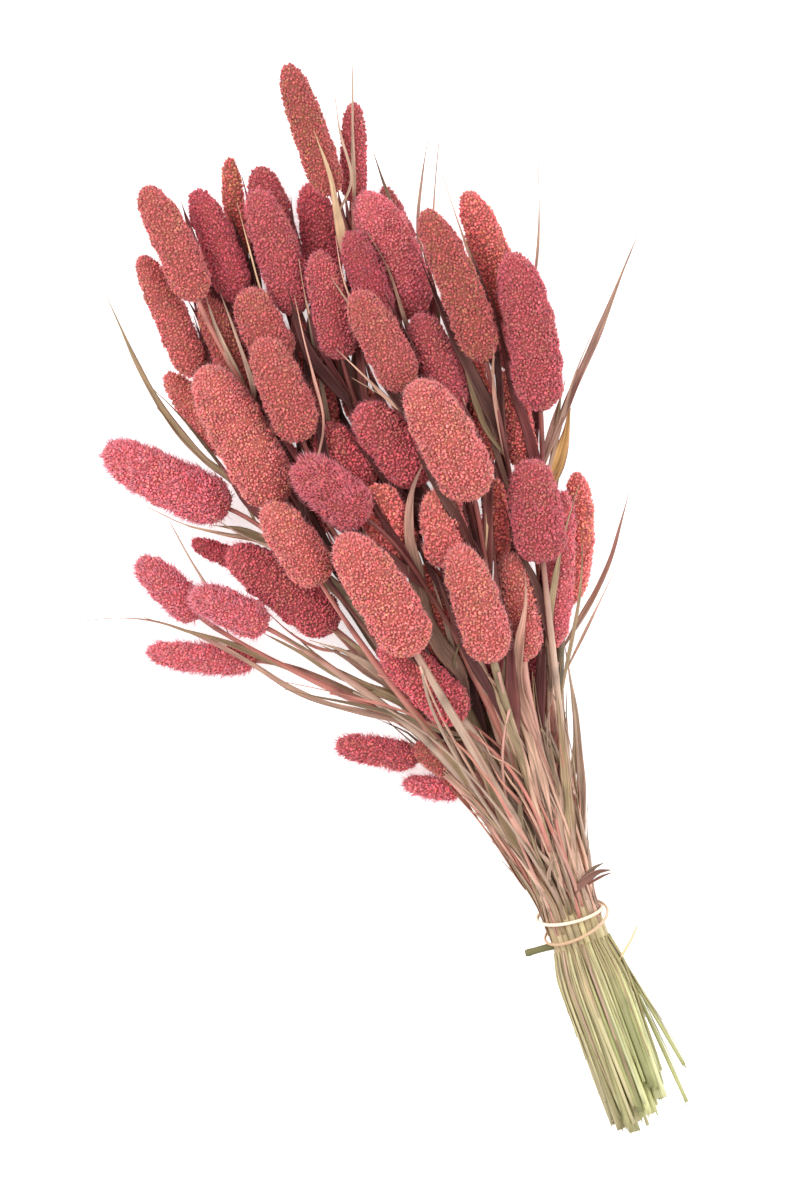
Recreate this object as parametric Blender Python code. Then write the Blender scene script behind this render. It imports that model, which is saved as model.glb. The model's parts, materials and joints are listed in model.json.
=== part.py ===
# A cut bunch of dried, dyed foxtail millet, tied once round its stems and laid on a surface.
# It lies along +Y, with the heads at +Y, the cut ends at -Y and the surface at z = 0.
# All lengths are in millimetres and are turned into metres where a mesh is made.
import math

import bmesh
import bpy
import numpy as np

MM = 0.001
BUNCH = "foxtail_millet_bunch"

# The photo's scale and lean, for the places that are read from the photo in its pixels
MM_PER_PIXEL = 0.55
LEAN = math.radians(20)
TIE_PIXEL = (575, 925)

# The tied bundle of stems
TIE_HEIGHT = 23.5
TIE_ZONE = 14.0
SLOT_PITCH = 3.5
RING_COUNT = 4
STEM_RADIUS = 1.8
NECK_STEM_RADIUS = 2.3
NECK_LENGTH = 150.0
NECK_SPREAD = (0.22, 0.24)
NECK_END = 135.0
STALK_RADIUS = 1.3
COLLAR_LENGTH = 6.0
OUTER_STEM_SIDES = 4
INNER_STEM_SIDES = 3
CUT_LENGTH = 120.0
CUT_SCATTER = 20.0
CUT_SLANT = 0.9
CUT_MIDDLE = 6.0
CUT_SPREAD = 1.18
FLARE_START = -10.0
FLARE_END = -32.0
FLARE = 1.27
CUT_LEAN = 1.3
STRAY_ENDS = ((29.9, 91.6), (24.4, 111.3))
STRAY_RADIUS = 1.1
BARE_STEM_LENGTH = 70.0
STUB_RADIUS = 2.1
STUB_PATH = ((-9.0, -6.8, TIE_HEIGHT + 1), (-20.0, -5.4, TIE_HEIGHT + 2), (-31.0, -4.6, TIE_HEIGHT + 3))
CORE_RADIUS = 13.2
CORE_ENDS = (-78.0, 46.0)
CORE_SIDES = 16
CURVE_TOLERANCE = 1.2
SMALLEST_PIECE = 1.0
SHORTEST_EDGE = 0.001

# The heads
LEVEL_HEIGHTS = (13.0, 92.0)
HEAD_TILT = 0.5
TIP_TAPER = 3.2
HEAD_SIDES = 8
HEAD_RINGS = 7
HEAD_BASE_RADIUS = 1.9
RELIEF = 1.2
JOINT_GAP = 0.3

# The surface takes this much off whatever lies lowest, and presses heads flat up to this height
FLAT_SPOT = 2.5
PRESS_HEIGHT = 4.5

# How the bunch settles: a stalk is a chain of beads that push the other stalks' beads aside
BEAD_PITCH = 8.0
HEAD_BEADS = 8
CLEARANCE = 1.6
HEAD_GIVE = 0.35
HEAD_HOLD = 0.25
BEYOND = 1e3
SETTLE_ROUNDS = 500

# The blades
BLADE_THICKNESS = 0.7
BLADE_PITCH = 22.0
BLADE_CLEARANCE = 0.9
BLADE_ROLL = 0.35
BLADE_TWIST = 5.0
BLADE_ROUNDS = 120
ROOT_SINK = 0.8
STEM_LIFT = 0.7
LAYER_LIFT = 0.9

# The band
BAND_RADIUS = 1.0
BAND_CLEARANCE = 0.4
BAND_MIDDLE = 4.3
BAND_SPREAD = 5.8
BAND_CROSSING = 1.2
BAND_TILT = 6.0
BAND_POINTS = 32

# Each head in the photo's pixels: tip, base, width, level from 0 on the surface to 4 on top, bend, then its tone
HEADS = {
    "head_01": ((288, 71), (333, 200), 34, 3.0, 0, "brick"),
    "head_02": ((354, 107), (354, 205), 25, 2.0, 0, "rose"),
    "head_03": ((147, 192), (200, 304), 39, 3.0, 3, "coral"),
    "head_04": ((196, 194), (238, 305), 36, 2.0, 3, "crimson"),
    "head_05": ((230, 160), (243, 262), 21, 1.0, 0, "brick"),
    "head_06": ((258, 170), (292, 272), 38, 1.0, 3, "rose"),
    "head_07": ((255, 196), (294, 318), 43, 2.6, 3, "rose"),
    "head_08": ((309, 186), (322, 300), 38, 1.0, 0, "crimson"),
    "head_09": ((143, 259), (198, 378), 33, 2.0, 3, "coral"),
    "head_10": ((207, 300), (247, 402), 35, 2.0, 3, "brick"),
    "head_11": ((250, 292), (290, 362), 43, 2.8, 0, "coral"),
    "head_12": ((262, 343), (304, 442), 45, 3.4, 2, "coral"),
    "head_13": ((318, 256), (342, 362), 38, 3.0, 2, "rose"),
    "head_14": ((363, 198), (410, 322), 50, 2.0, 3, "magenta"),
    "head_15": ((383, 189), (417, 275), 20, 0.8, 2, "rose"),
    "head_16": ((424, 217), (484, 364), 40, 4.0, 4, "brick"),
    "head_17": ((465, 196), (506, 330), 37, 2.6, 5, "coral"),
    "head_18": ((509, 258), (541, 413), 49, 3.6, 5, "rose"),
    "head_19": ((355, 297), (403, 394), 42, 4.0, 3, "coral"),
    "head_20": ((417, 318), (452, 420), 42, 3.0, 3, "rose"),
    "head_21": ((344, 384), (388, 462), 36, 1.8, 2, "brick"),
    "head_22": ((204, 371), (279, 506), 57, 3.1, 2, "salmon"),
    "head_23": ((358, 410), (420, 490), 50, 3.0, 2, "rose"),
    "head_24": ((299, 464), (370, 518), 46, 3.5, 0, "rose"),
    "head_25": ((322, 428), (372, 492), 44, 2.4, 0, "rose"),
    "head_26": ((413, 386), (475, 500), 56, 4.0, 2, "salmon"),
    "head_27": ((375, 487), (402, 556), 46, 2.6, 0, "salmon"),
    "head_28": ((438, 482), (450, 566), 44, 3.5, 0, "salmon"),
    "head_29": ((493, 480), (497, 560), 26, 2.0, 0, "salmon"),
    "head_30": ((527, 462), (540, 562), 50, 3.6, 0, "rose"),
    "head_31": ((575, 473), (564, 604), 30, 1.6, 7, "salmon"),
    "head_32": ((268, 507), (323, 582), 44, 3.3, 2, "salmon"),
    "head_33": ((342, 537), (415, 650), 55, 4.0, 3, "salmon"),
    "head_34": ((455, 548), (492, 660), 46, 4.0, 2, "salmon"),
    "head_35": ((510, 553), (522, 660), 40, 3.0, 2, "salmon"),
    "head_36": ((562, 492), (549, 648), 28, 2.2, 2, "magenta"),
    "head_37": ((107, 449), (229, 510), 49, 1.4, -3, "magenta"),
    "head_38": ((193, 542), (250, 566), 20, 0.4, 0, "crimson"),
    "head_39": ((230, 550), (335, 629), 48, 1.4, 2, "crimson"),
    "head_40": ((140, 561), (190, 620), 35, 1.0, 2, "magenta"),
    "head_41": ((194, 594), (264, 629), 36, 2.0, 2, "magenta"),
    "head_42": ((148, 651), (250, 663), 28, 0.2, -2, "magenta"),
    "head_43": ((337, 744), (420, 757), 28, 0.8, 0, "rose"),
    "head_44": ((416, 744), (452, 768), 26, 1.2, 0, "brick"),
    "head_45": ((404, 783), (460, 791), 21, 0.0, 0, "magenta"),
    "head_46": ((382, 642), (462, 718), 44, 2.6, 2, "rose"),
    "head_47": ((168, 375), (232, 455), 30, 0.8, 0, "salmon"),
    "head_48": ((506, 372), (521, 470), 30, 2.2, 0, "coral"),
    "head_49": ((463, 345), (490, 462), 32, 2.0, 0, "coral"),
    "head_50": ((425, 565), (447, 664), 34, 2.4, 0, "salmon"),
    "head_51": ((516, 630), (538, 722), 30, 0.8, 0, "crimson"),
    "head_52": ((468, 630), (496, 712), 30, 1.0, 0, "crimson"),
    "head_53": ((352, 236), (386, 322), 34, 2.8, 0, "crimson"),
    "head_54": ((296, 324), (330, 437), 30, 2.3, 2, "coral"),
    # Heads that only the underside shows
    "head_55": ((486, 262), (520, 372), 40, 0.0, 0, "rose"),
    "head_56": ((196, 262), (250, 352), 40, 0.0, 0, "crimson"),
    "head_57": ((402, 380), (440, 480), 42, 0.0, 0, "salmon"),
    "head_58": ((268, 440), (330, 530), 42, 0.0, 0, "rose"),
}

# Each blade: the stem it grows from, its width in the photo's pixels, how far its tip rises over its root in
# millimetres, how many of its points stay below the heads over them, then its points in the photo's pixels
BLADES = [
    # Free blades at the right
    ("head_18", 8, -6, 0, (548, 468), (563, 412), (572, 387), (593, 347), (608, 308), (622, 268), (638, 232)),
    ("head_18", 4, 8, 0, (550, 490), (562, 405), (573, 368), (589, 338)),
    ("head_48", 14, 12, 0, (545, 520), (562, 470), (572, 436), (569, 400)),
    ("head_31", 6, 8, 0, (567, 650), (575, 627), (592, 602), (611, 571), (617, 545), (621, 517), (629, 488)),
    ("head_31", 3, -8, 0, (570, 680), (585, 632), (597, 605), (612, 575)),
    # Free blades at the left
    ("head_37", 8, 14, 0, (252, 530), (228, 500), (199, 466), (173, 433), (144, 384), (124, 332), (105, 290)),
    ("head_37", 4, -4, 0, (268, 550), (240, 492), (208, 440), (185, 412), (150, 386)),
    (
        "head_46", 9, -34, 0,
        (450, 748), (405, 722), (345, 708), (300, 704), (276, 678), (222, 642), (170, 618), (128, 610), (76, 622),
    ),
    ("head_39", 9, 6, 0, (424, 714), (395, 690), (345, 688), (312, 655), (292, 632)),
    ("head_39", 10, 12, 0, (430, 708), (398, 682), (366, 656), (340, 640), (312, 636)),
    ("head_39", 7, 14, 0, (425, 702), (395, 672), (370, 650), (352, 636), (330, 628)),
    ("head_40", 3, 10, 3, (222, 640), (216, 588), (190, 560), (174, 540), (170, 520)),
    ("head_37", 14, 14, 9, (410, 690), (383, 650), (344, 606), (309, 580), (270, 556), (234, 530)),
    ("head_37", 8, 16, 9, (404, 690), (366, 636), (330, 592), (290, 562), (246, 545), (212, 514)),
    ("head_37", 4, 10, 9, (330, 600), (268, 552), (220, 534), (186, 522), (150, 508)),
    # Broad old blades deep among the heads
    ("head_20", 16, 4, 9, (478, 640), (445, 570), (418, 500), (392, 430), (368, 375), (345, 300)),
    ("head_13", 16, 2, 9, (360, 450), (354, 410), (346, 376), (338, 345), (330, 305)),
    ("head_07", 14, 4, 9, (400, 680), (346, 592), (300, 500), (264, 405), (255, 340), (256, 262)),
    ("head_10", 14, 4, 9, (330, 560), (280, 480), (235, 410), (202, 335), (190, 280)),
    ("head_17", 14, 2, 9, (522, 640), (512, 550), (501, 480), (491, 375), (470, 300)),
    ("head_14", 14, 2, 9, (500, 650), (472, 530), (440, 420), (404, 325), (385, 250)),
    ("head_48", 12, 12, 0, (552, 540), (556, 480), (553, 430), (560, 395)),
    ("head_02", 12, 6, 9, (362, 330), (350, 270), (350, 215), (352, 192)),
    # Blades among the top heads
    ("head_01", 9, 12, 1, (352, 300), (345, 278), (340, 250), (336, 220), (333, 190), (322, 155), (313, 138)),
    ("head_01", 3, 16, 0, (336, 212), (339, 170), (337, 130), (335, 96)),
    ("head_02", 4, 16, 0, (355, 215), (352, 160), (353, 110), (353, 60)),
    ("head_15", 7, 20, 1, (436, 345), (440, 315), (425, 280), (408, 245), (395, 215), (383, 190), (372, 150)),
    ("head_15", 4, 20, 0, (424, 300), (411, 250), (412, 215), (418, 190), (428, 140)),
    ("head_15", 3, 26, 0, (430, 320), (432, 262), (431, 215), (433, 195), (439, 140)),
    ("head_16", 4, -14, 1, (486, 378), (496, 335), (484, 295), (466, 250), (450, 208), (440, 172)),
    ("head_17", 3, 6, 2, (512, 350), (528, 312), (538, 270), (540, 230), (537, 165)),
    ("head_10", 8, 10, 0, (262, 428), (245, 395), (222, 345), (204, 298)),
    ("head_10", 5, 10, 0, (252, 412), (243, 370), (232, 330), (221, 295)),
    ("head_54", 5, 24, 0, (328, 448), (326, 410), (320, 370), (308, 320), (302, 288)),
    ("head_19", 7, 4, 0, (408, 402), (392, 370), (378, 345), (345, 300), (332, 282)),
    ("head_19", 4, -6, 0, (414, 440), (400, 420), (375, 390), (338, 350)),
    ("head_14", 4, 10, 0, (416, 336), (408, 310), (390, 285), (364, 238)),
    # Blades among the middle heads
    ("head_16", 7, 8, 0, (498, 462), (480, 446), (462, 390), (447, 318)),
    ("head_16", 7, 14, 0, (505, 500), (492, 450), (478, 385), (460, 328)),
    ("head_16", 5, 12, 0, (501, 480), (495, 430), (484, 372), (480, 344)),
    ("head_17", 6, 20, 0, (522, 460), (512, 445), (500, 380), (494, 348)),
    ("head_27", 6, 10, 1, (410, 580), (398, 562), (375, 530), (358, 502)),
    ("head_50", 18, 34, 0, (462, 712), (432, 655), (412, 600), (410, 545), (420, 505), (428, 452)),
    ("head_50", 6, 20, 0, (458, 695), (448, 640), (440, 605), (430, 572)),
    ("head_35", 12, 30, 0, (540, 760), (512, 695), (508, 660), (518, 635), (530, 600), (536, 556)),
    ("head_36", 7, 30, 0, (550, 690), (546, 640), (550, 590), (556, 545), (568, 505), (577, 486)),
    # Broad blades over the neck
    ("neck", 10, 6, 0, (520, 850), (492, 800), (458, 748), (430, 708)),
    ("neck", 14, 10, 0, (537, 880), (502, 820), (482, 760), (462, 700)),
    ("neck", 12, 4, 0, (548, 870), (524, 800), (508, 745), (492, 690)),
    ("neck", 15, 8, 0, (556, 885), (545, 805), (530, 740), (506, 668)),
    ("neck", 18, 6, 0, (563, 890), (550, 785), (541, 715), (536, 672)),
    ("neck", 13, 8, 0, (574, 890), (568, 820), (562, 750), (556, 690)),
    ("neck", 8, -4, 0, (581, 862), (585, 806), (581, 776), (578, 735), (573, 690), (563, 640)),
    ("neck", 8, 2, 0, (516, 850), (474, 792), (444, 745), (408, 706)),
    ("neck", 8, 8, 0, (535, 830), (512, 775), (490, 722), (478, 680)),
    ("neck", 7, 8, 0, (525, 850), (490, 785), (460, 735), (440, 690)),
    # A torn scrap at the tie, and blades that hang at the neck's sides and under it
    ("neck", 9, 6, 0, (572, 892), (585, 872), (598, 862), (611, 868)),
    ("under", 9, -4, 9, (520, 870), (490, 820), (466, 780), (440, 752)),
    ("under", 12, -6, 9, (566, 880), (556, 800), (546, 740), (530, 680)),
    ("under", 11, -8, 9, (540, 870), (505, 800), (470, 730), (425, 660)),
    ("under", 10, -6, 9, (570, 880), (566, 800), (560, 720), (548, 640)),
]


# The colours, 0 to 255, and how rough each stuff is
HEAD_TONES = {
    "salmon": (234, 128, 112),
    "coral": (226, 108, 98),
    "brick": (206, 98, 84),
    "rose": (220, 96, 102),
    "crimson": (200, 74, 88),
    "magenta": (228, 86, 116),
}
LEAF_TONE = (152, 122, 98)
BAND_TONE = (244, 222, 200)
HEAD_ROUGHNESS = 0.75
LEAF_ROUGHNESS = 0.6
BAND_ROUGHNESS = 0.45
SMOOTH_UP_TO = math.radians(50)


def plan(pixel):
    """A pixel of the photo as (across, along) in millimetres from the tie."""
    right = (pixel[0] - TIE_PIXEL[0]) * MM_PER_PIXEL
    up = (TIE_PIXEL[1] - pixel[1]) * MM_PER_PIXEL
    return np.array(
        [right * math.cos(LEAN) + up * math.sin(LEAN), up * math.cos(LEAN) - right * math.sin(LEAN)]
    )


def head_profile(share):
    """A head's radius as a share of its greatest one, from its base (0) to its tip (1)."""
    power = np.where(share < 0.5, 5.0, TIP_TAPER)
    return (1 - np.abs(2 * share - 1) ** power) ** 0.5 * (1.05 - 0.15 * share)


def level_height(level):
    low, high = LEVEL_HEIGHTS
    return low + (high - low) * level / 4


def bundle_slots():
    """Places of the stems in the tie, ring by ring from the outside, as (across, up) from its middle."""
    slots = []
    for ring in range(RING_COUNT, 0, -1):
        count = int(2 * math.pi * ring)
        for turn in range(count):
            angle = 2 * math.pi * turn / count + 0.4 * ring
            slots.append((ring * SLOT_PITCH * math.cos(angle), ring * SLOT_PITCH * math.sin(angle)))
    return slots + [(0.0, 0.0)]


class Stalk:
    """One head on its stem, as a chain of beads from the tie to the head's tip."""

    def __init__(self, name, tip, base, width, level, bend, tone):
        self.name = name
        self.tone = tone
        self.radius = width * MM_PER_PIXEL / 2
        tip, base = plan(tip), plan(base)
        self.length = np.linalg.norm(tip - base)
        side = np.array([base[1] - tip[1], tip[0] - base[0]]) / self.length
        share = np.linspace(0.0, 1.0, HEAD_BEADS)
        bow = np.sin(math.pi * share) * bend * MM_PER_PIXEL
        axis = base + np.outer(share, tip - base) - np.outer(bow, side)
        height = max(level_height(level), self.radius + 1)
        slope = max(0.0, height - TIE_HEIGHT) / base[1]
        rise = HEAD_TILT * slope * self.length * (share - 0.5)
        self.head = np.column_stack([axis, height + rise])
        self.heading = (base[0] / base[1], (height - TIE_HEIGHT - 25) / base[1])

    def stem_from(self, slot):
        """The stem before it settles: along the tie, then in a curve that comes to the head from below."""
        start = np.array([slot[0], TIE_ZONE, slot[1] + TIE_HEIGHT])
        end = self.head[0]
        reach = np.linalg.norm(end - start)
        count = max(5, int(reach / BEAD_PITCH))
        t = np.linspace(0, 1, count, endpoint=False)[:, None]
        leave = np.array([0.0, 0.5 * reach, 0.0])
        arrive = self.head[1] - self.head[0]
        arrive = arrive / np.linalg.norm(arrive[:2]) * 0.6 * reach
        arrive[2] = 1.1 * (end[2] - start[2])
        return (
            (2 * t**3 - 3 * t**2 + 1) * start
            + (t**3 - 2 * t**2 + t) * leave
            + (3 * t**2 - 2 * t**3) * end
            + (t**3 - t**2) * arrive
        )


def give_slots(stalks):
    """Each stem's place in the tie, the outer places first, each to the free stem that leans most its way.

    It returns the places that are left over.
    """
    free = list(stalks)
    spread = max(abs(stalk.heading[0]) for stalk in stalks)
    lift = max(abs(stalk.heading[1]) for stalk in stalks)
    slots = bundle_slots()
    for slot in slots[: len(stalks)]:
        best = max(free, key=lambda s: s.heading[0] / spread * slot[0] + s.heading[1] / lift * slot[1])
        best.slot = slot
        free.remove(best)
    return slots[len(stalks) :]


def neck_limits(stalk, stem):
    """How far left and right a stem's beads may stray, so that the neck stays slim up to where it fans out."""
    share = np.linspace(0, 1, len(stem))
    bundle = SLOT_PITCH * RING_COUNT
    left, right = (bundle + spread * stem[:, 1] for spread in NECK_SPREAD)
    left += max(0.0, -stalk.head[0, 0] - left[-1]) * share**6
    right += max(0.0, stalk.head[0, 0] - right[-1]) * share**6
    free = stem[:, 1] > NECK_END
    return np.where(free, -BEYOND, -left), np.where(free, BEYOND, right)


def settle(stalks):
    """Moves the heads up and down and the stems aside until nothing touches a head but its own stem."""
    share = np.linspace(0.0, 1.0, HEAD_BEADS)
    places, radii, owner, limits = [], [], [], []
    for index, stalk in enumerate(stalks):
        stem = stalk.stem_from(stalk.slot)
        stalk.first = sum(map(len, places))
        limits += [neck_limits(stalk, stem), np.outer((-BEYOND, BEYOND), np.ones(HEAD_BEADS))]
        stalk.middle = stalk.first + len(stem)
        places += [stem, stalk.head]
        thick = np.where(stem[:, 1] < NECK_LENGTH, NECK_STEM_RADIUS, STALK_RADIUS)
        radii += [thick, stalk.radius * head_profile(np.clip(share, 0.03, 0.93)) + RELIEF]
        owner += [index] * (len(stem) + HEAD_BEADS)
    home = np.concatenate(places)
    radii = np.concatenate(radii)
    owner = np.array(owner)
    leftmost, rightmost = np.concatenate(limits, axis=1)
    everyone = np.arange(len(home))
    starts = np.array([stalk.first for stalk in stalks])
    tips = np.append(starts[1:], len(home)) - 1
    inner = np.setdiff1d(everyone, np.concatenate([starts, tips]))
    heads = np.concatenate([np.arange(s.middle, s.middle + HEAD_BEADS) for s in stalks])
    is_head = np.isin(everyone, heads)
    give = np.where(is_head, HEAD_GIVE, 1.0)
    give[starts] = 0.0
    shift = np.zeros_like(home)
    for turn in range(SETTLE_ROUNDS):
        points = home + shift
        if turn % 10 == 0:
            reach = radii[heads][:, None] + radii + CLEARANCE + 6
            near = ((points[heads][:, None] - points) ** 2).sum(axis=2) < reach**2
            near &= owner[heads][:, None] != owner
            near &= ~is_head | (heads[:, None] < everyone)
            one, other = np.nonzero(near)
            one = heads[one]
        gap = points[one] - points[other]
        length = np.linalg.norm(gap, axis=1)
        short = radii[one] + radii[other] + CLEARANCE - length
        hit = short > 0
        first, second = one[hit], other[hit]
        push = gap[hit] * (short[hit] / length[hit] / (give[first] + give[second]))[:, None]
        moved = np.zeros_like(home)
        count = np.ones(len(home))
        for beads, way in ((first, 1), (second, -1)):
            np.add.at(moved, beads, way * push * give[beads][:, None])
            np.add.at(count, beads, 1)
        shift += moved / np.sqrt(count)[:, None]
        shift[inner] += 0.5 * ((shift[inner - 1] + shift[inner + 1]) / 2 - shift[inner])
        hold = HEAD_HOLD * (1 - turn / SETTLE_ROUNDS)
        shift[heads, :2] *= 1 - hold
        shift[:, 2] *= 1 - 0.03 * hold
        shift[:, 0] = np.clip(shift[:, 0], leftmost - home[:, 0], rightmost - home[:, 0])
        shift[starts] = 0
        shift[:, 2] = np.maximum(shift[:, 2], radii + 0.2 - home[:, 2])
    for stalk in stalks:
        stalk.stem = (home + shift)[stalk.first : stalk.middle]
        stalk.head = (home + shift)[stalk.middle : stalk.middle + HEAD_BEADS]


def along_curve(points, places):
    """Points on the smooth curve through the given points, at places counted in points from the first."""
    padded = np.vstack([2 * points[0] - points[1], points, 2 * points[-1] - points[-2]])
    index = np.clip(places.astype(int), 0, len(points) - 2)
    t = (places - index)[:, None]
    before, start, end, after = (padded[index + k] for k in range(4))
    return 0.5 * (
        2 * start
        + (end - before) * t
        + (2 * before - 5 * start + 4 * end - after) * t**2
        + (3 * start - before - 3 * end + after) * t**3
    )


def evenly(points, pitch, least=4):
    """Points on the smooth curve through the given ones, about a pitch apart."""
    fine = along_curve(points, np.linspace(0, len(points) - 1, 12 * len(points)))
    run = np.concatenate([[0], np.cumsum(np.linalg.norm(np.diff(fine, axis=0), axis=1))])
    wanted = np.linspace(0, run[-1], max(least, round(run[-1] / pitch) + 1))
    return np.column_stack([np.interp(wanted, run, fine[:, axis]) for axis in range(fine.shape[1])])


def directions(points):
    way = np.gradient(points, axis=0)
    return way / np.linalg.norm(way, axis=1)[:, None]


def head_balls(stalks):
    """Every head as closely set balls: their middles and radii."""
    share = np.linspace(0.0, 1.0, 3 * HEAD_BEADS)
    middles = [along_curve(stalk.head, share * (HEAD_BEADS - 1)) for stalk in stalks]
    radii = [stalk.radius * head_profile(np.clip(share, 0.01, 0.96)) + RELIEF for stalk in stalks]
    return np.concatenate(middles), np.concatenate(radii)


def stem_balls(stalks):
    """The upper stems as closely set balls, for what lies on the neck."""
    middles = np.concatenate([evenly(stalk.stem, 3.0) for stalk in stalks])
    return middles, np.where(middles[:, 1] < NECK_LENGTH, NECK_STEM_RADIUS, STALK_RADIUS)


def top_over(points, middles, radii, side=1):
    """The height of the balls' tops over each point, or of their undersides where side is -1."""
    flat = ((points[:, None, :2] - middles[:, :2]) ** 2).sum(axis=2)
    lift = np.sqrt(np.maximum(radii**2 - flat, 0)) + side * middles[:, 2]
    return side * np.where(flat < radii**2, lift, -BEYOND).max(axis=1)


class Blade:
    """A leaf blade: the middles of its cross-sections, their half widths and the way across each."""

    def __init__(self, index, stalks, heads, stems, owner, width, rise, below, *route):
        path = np.array([plan(pixel) for pixel in route])
        if owner in stalks:
            stem = stalks[owner].stem[:-1]
            root = stem[np.argmin(np.linalg.norm(stem[:, :2] - path[0], axis=1))]
            path[0] = root[:2]
        flat = evenly(np.column_stack([path, np.arange(len(path))]), BLADE_PITCH)
        share = np.linspace(0, 1, len(flat))
        self.half = width * MM_PER_PIXEL / 2 * np.minimum(0.4 + 2.4 * share, 1.0)
        self.half = np.maximum(self.half * np.minimum(1.0, 2.6 * (1 - share)) ** 0.8, 0.45)
        self.roll = BLADE_ROLL * np.sin(1.7 * index + BLADE_TWIST * share)
        on_neck = top_over(flat, *stems, side=-1 if owner == "under" else 1)
        if owner not in stalks:
            root = (*path[0], on_neck[0] + (ROOT_SINK if owner == "under" else -ROOT_SINK))
        line = root[2] + rise * share
        over = (flat[:, 2] > below - 0.5) & (share > 0)
        lift = STEM_LIFT + LAYER_LIFT * (index % 3)
        if owner == "under":
            line = np.where((on_neck < BEYOND) & (share > 0), np.minimum(line, on_neck - lift), line)
        else:
            line = np.where(over, np.maximum(line, on_neck + lift), line)
        cover = top_over(flat, *heads) + BLADE_CLEARANCE
        lifted = np.where(over, np.maximum(line, cover), line)
        self.middles = self.drape(np.column_stack([flat[:, :2], lifted]), line, *heads)

    def across(self, middles):
        way = directions(middles)
        side = np.cross(way, (0.0, 0.0, 1.0))
        side /= np.linalg.norm(side, axis=1)[:, None]
        return np.cos(self.roll)[:, None] * side + np.sin(self.roll)[:, None] * np.cross(side, way)

    def drape(self, middles, line, balls, radii):
        """Lets the blade sink towards its own line until it rests on the heads or slips between them."""
        home = middles.copy()
        near = np.linalg.norm(balls[:, None] - middles, axis=2).min(axis=1) < 40
        balls = balls[near]
        reach = radii[near] + BLADE_CLEARANCE + BLADE_THICKNESS / 2
        for turn in range(BLADE_ROUNDS):
            loose = 1 - turn / BLADE_ROUNDS
            middles[1:-1] += 0.3 * loose * ((middles[2:] + middles[:-2]) / 2 - middles[1:-1])
            middles[:, 2] += 0.08 * loose * (line - middles[:, 2])
            middles[:, :2] += 0.15 * loose * (home[:, :2] - middles[:, :2])
            middles[:, 2] = np.maximum(middles[:, 2], 0.4 * self.half + 0.8)
            if len(balls):
                side = self.across(middles) * self.half[:, None]
                edges = np.stack([middles - side, middles, middles + side])
                middles += self.push_out(edges, balls, reach)
                halfway = self.push_out((edges[:, 1:] + edges[:, :-1]) / 2, balls, reach)
                middles[1:] += halfway
                middles[:-1] += halfway
            middles[0] = home[0]
        return middles

    @staticmethod
    def push_out(samples, balls, reach):
        """How far each cross-section has to move so that its edges and middle come clear of the balls."""
        gap = samples[:, :, None] - balls
        length = np.linalg.norm(gap, axis=3)
        short = np.maximum(reach - length, 0)
        worst = short.reshape(3, samples.shape[1], -1).max(axis=2).argmax(axis=0)
        section = np.arange(samples.shape[1])
        ball = short[worst, section].argmax(axis=1)
        depth = short[worst, section, ball] / length[worst, section, ball]
        return 0.7 * gap[worst, section, ball] * depth[:, None]


def simplified(points, tolerance):
    """The places of the points that a tube needs to stay within the tolerance of the whole run."""
    if len(points) < 3:
        return [0, len(points) - 1]
    chord = points[-1] - points[0]
    share = np.clip((points - points[0]) @ chord / (chord @ chord), 0, 1)
    off = np.linalg.norm(points - points[0] - np.outer(share, chord), axis=1)
    far = int(off.argmax())
    if off[far] < tolerance:
        return [0, len(points) - 1]
    before = simplified(points[: far + 1], tolerance)
    after = simplified(points[far:], tolerance)
    return before + [far + place for place in after[1:]]


def frames(points):
    """Two directions square to the run at each point: one level, the other as near upright as it goes."""
    way = directions(points)
    level = np.cross(way, (0.0, 0.0, 1.0))
    level /= np.linalg.norm(level, axis=1)[:, None]
    return level, np.cross(level, way)


def loft(rings, cap_start=True, cap_end=True, tip=None):
    """Vertices and faces of a closed skin over rings of equally many points, with an optional end point."""
    count, sides = len(rings), len(rings[0])
    vertices = [tuple(point) for ring in rings for point in ring]
    faces = []
    for ring in range(count - 1):
        for side in range(sides):
            near, far = ring * sides, (ring + 1) * sides
            after = (side + 1) % sides
            faces.append((near + side, far + side, far + after, near + after))
    if cap_start:
        faces.append(tuple(range(sides)))
    last = (count - 1) * sides
    if tip is not None:
        vertices.append(tuple(tip))
        faces += [(last + (side + 1) % sides, last + side, len(vertices) - 1) for side in range(sides)]
    elif cap_end:
        faces.append(tuple(reversed(range(last, last + sides))))
    return vertices, faces


def collection_named(name):
    found = bpy.data.collections.get(name)
    if found is None:
        found = bpy.data.collections.new(name)
        bpy.context.scene.collection.children.link(found)
    return found


def paint(node, name, tone, roughness):
    """Gives a node its material, and smooth shading where its faces meet at a blunt angle."""
    material = bpy.data.materials.get(name)
    if material is None:
        material = bpy.data.materials.new(name)
        material.use_nodes = True
        shader = material.node_tree.nodes["Principled BSDF"]
        linear = [((part / 255 + 0.055) / 1.055) ** 2.4 for part in tone]
        shader.inputs["Base Color"].default_value = (*linear, 1.0)
        shader.inputs["Roughness"].default_value = roughness
        shader.inputs["Metallic"].default_value = 0.0
    node.data.materials.append(material)
    node.data.shade_smooth()
    node.data.set_sharp_from_angle(angle=SMOOTH_UP_TO)


def add_mesh(name, vertices, faces):
    """A node or a part of one, lowered so that its flat spots lie at z = 0."""
    ground = [(x * MM, y * MM, (max(z, FLAT_SPOT) - FLAT_SPOT) * MM) for x, y, z in vertices]
    mesh = bpy.data.meshes.new(name)
    mesh.from_pydata(ground, [], faces)
    mesh.update()
    made = bpy.data.objects.new(name, mesh)
    collection_named(BUNCH).objects.link(made)
    return made


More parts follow.
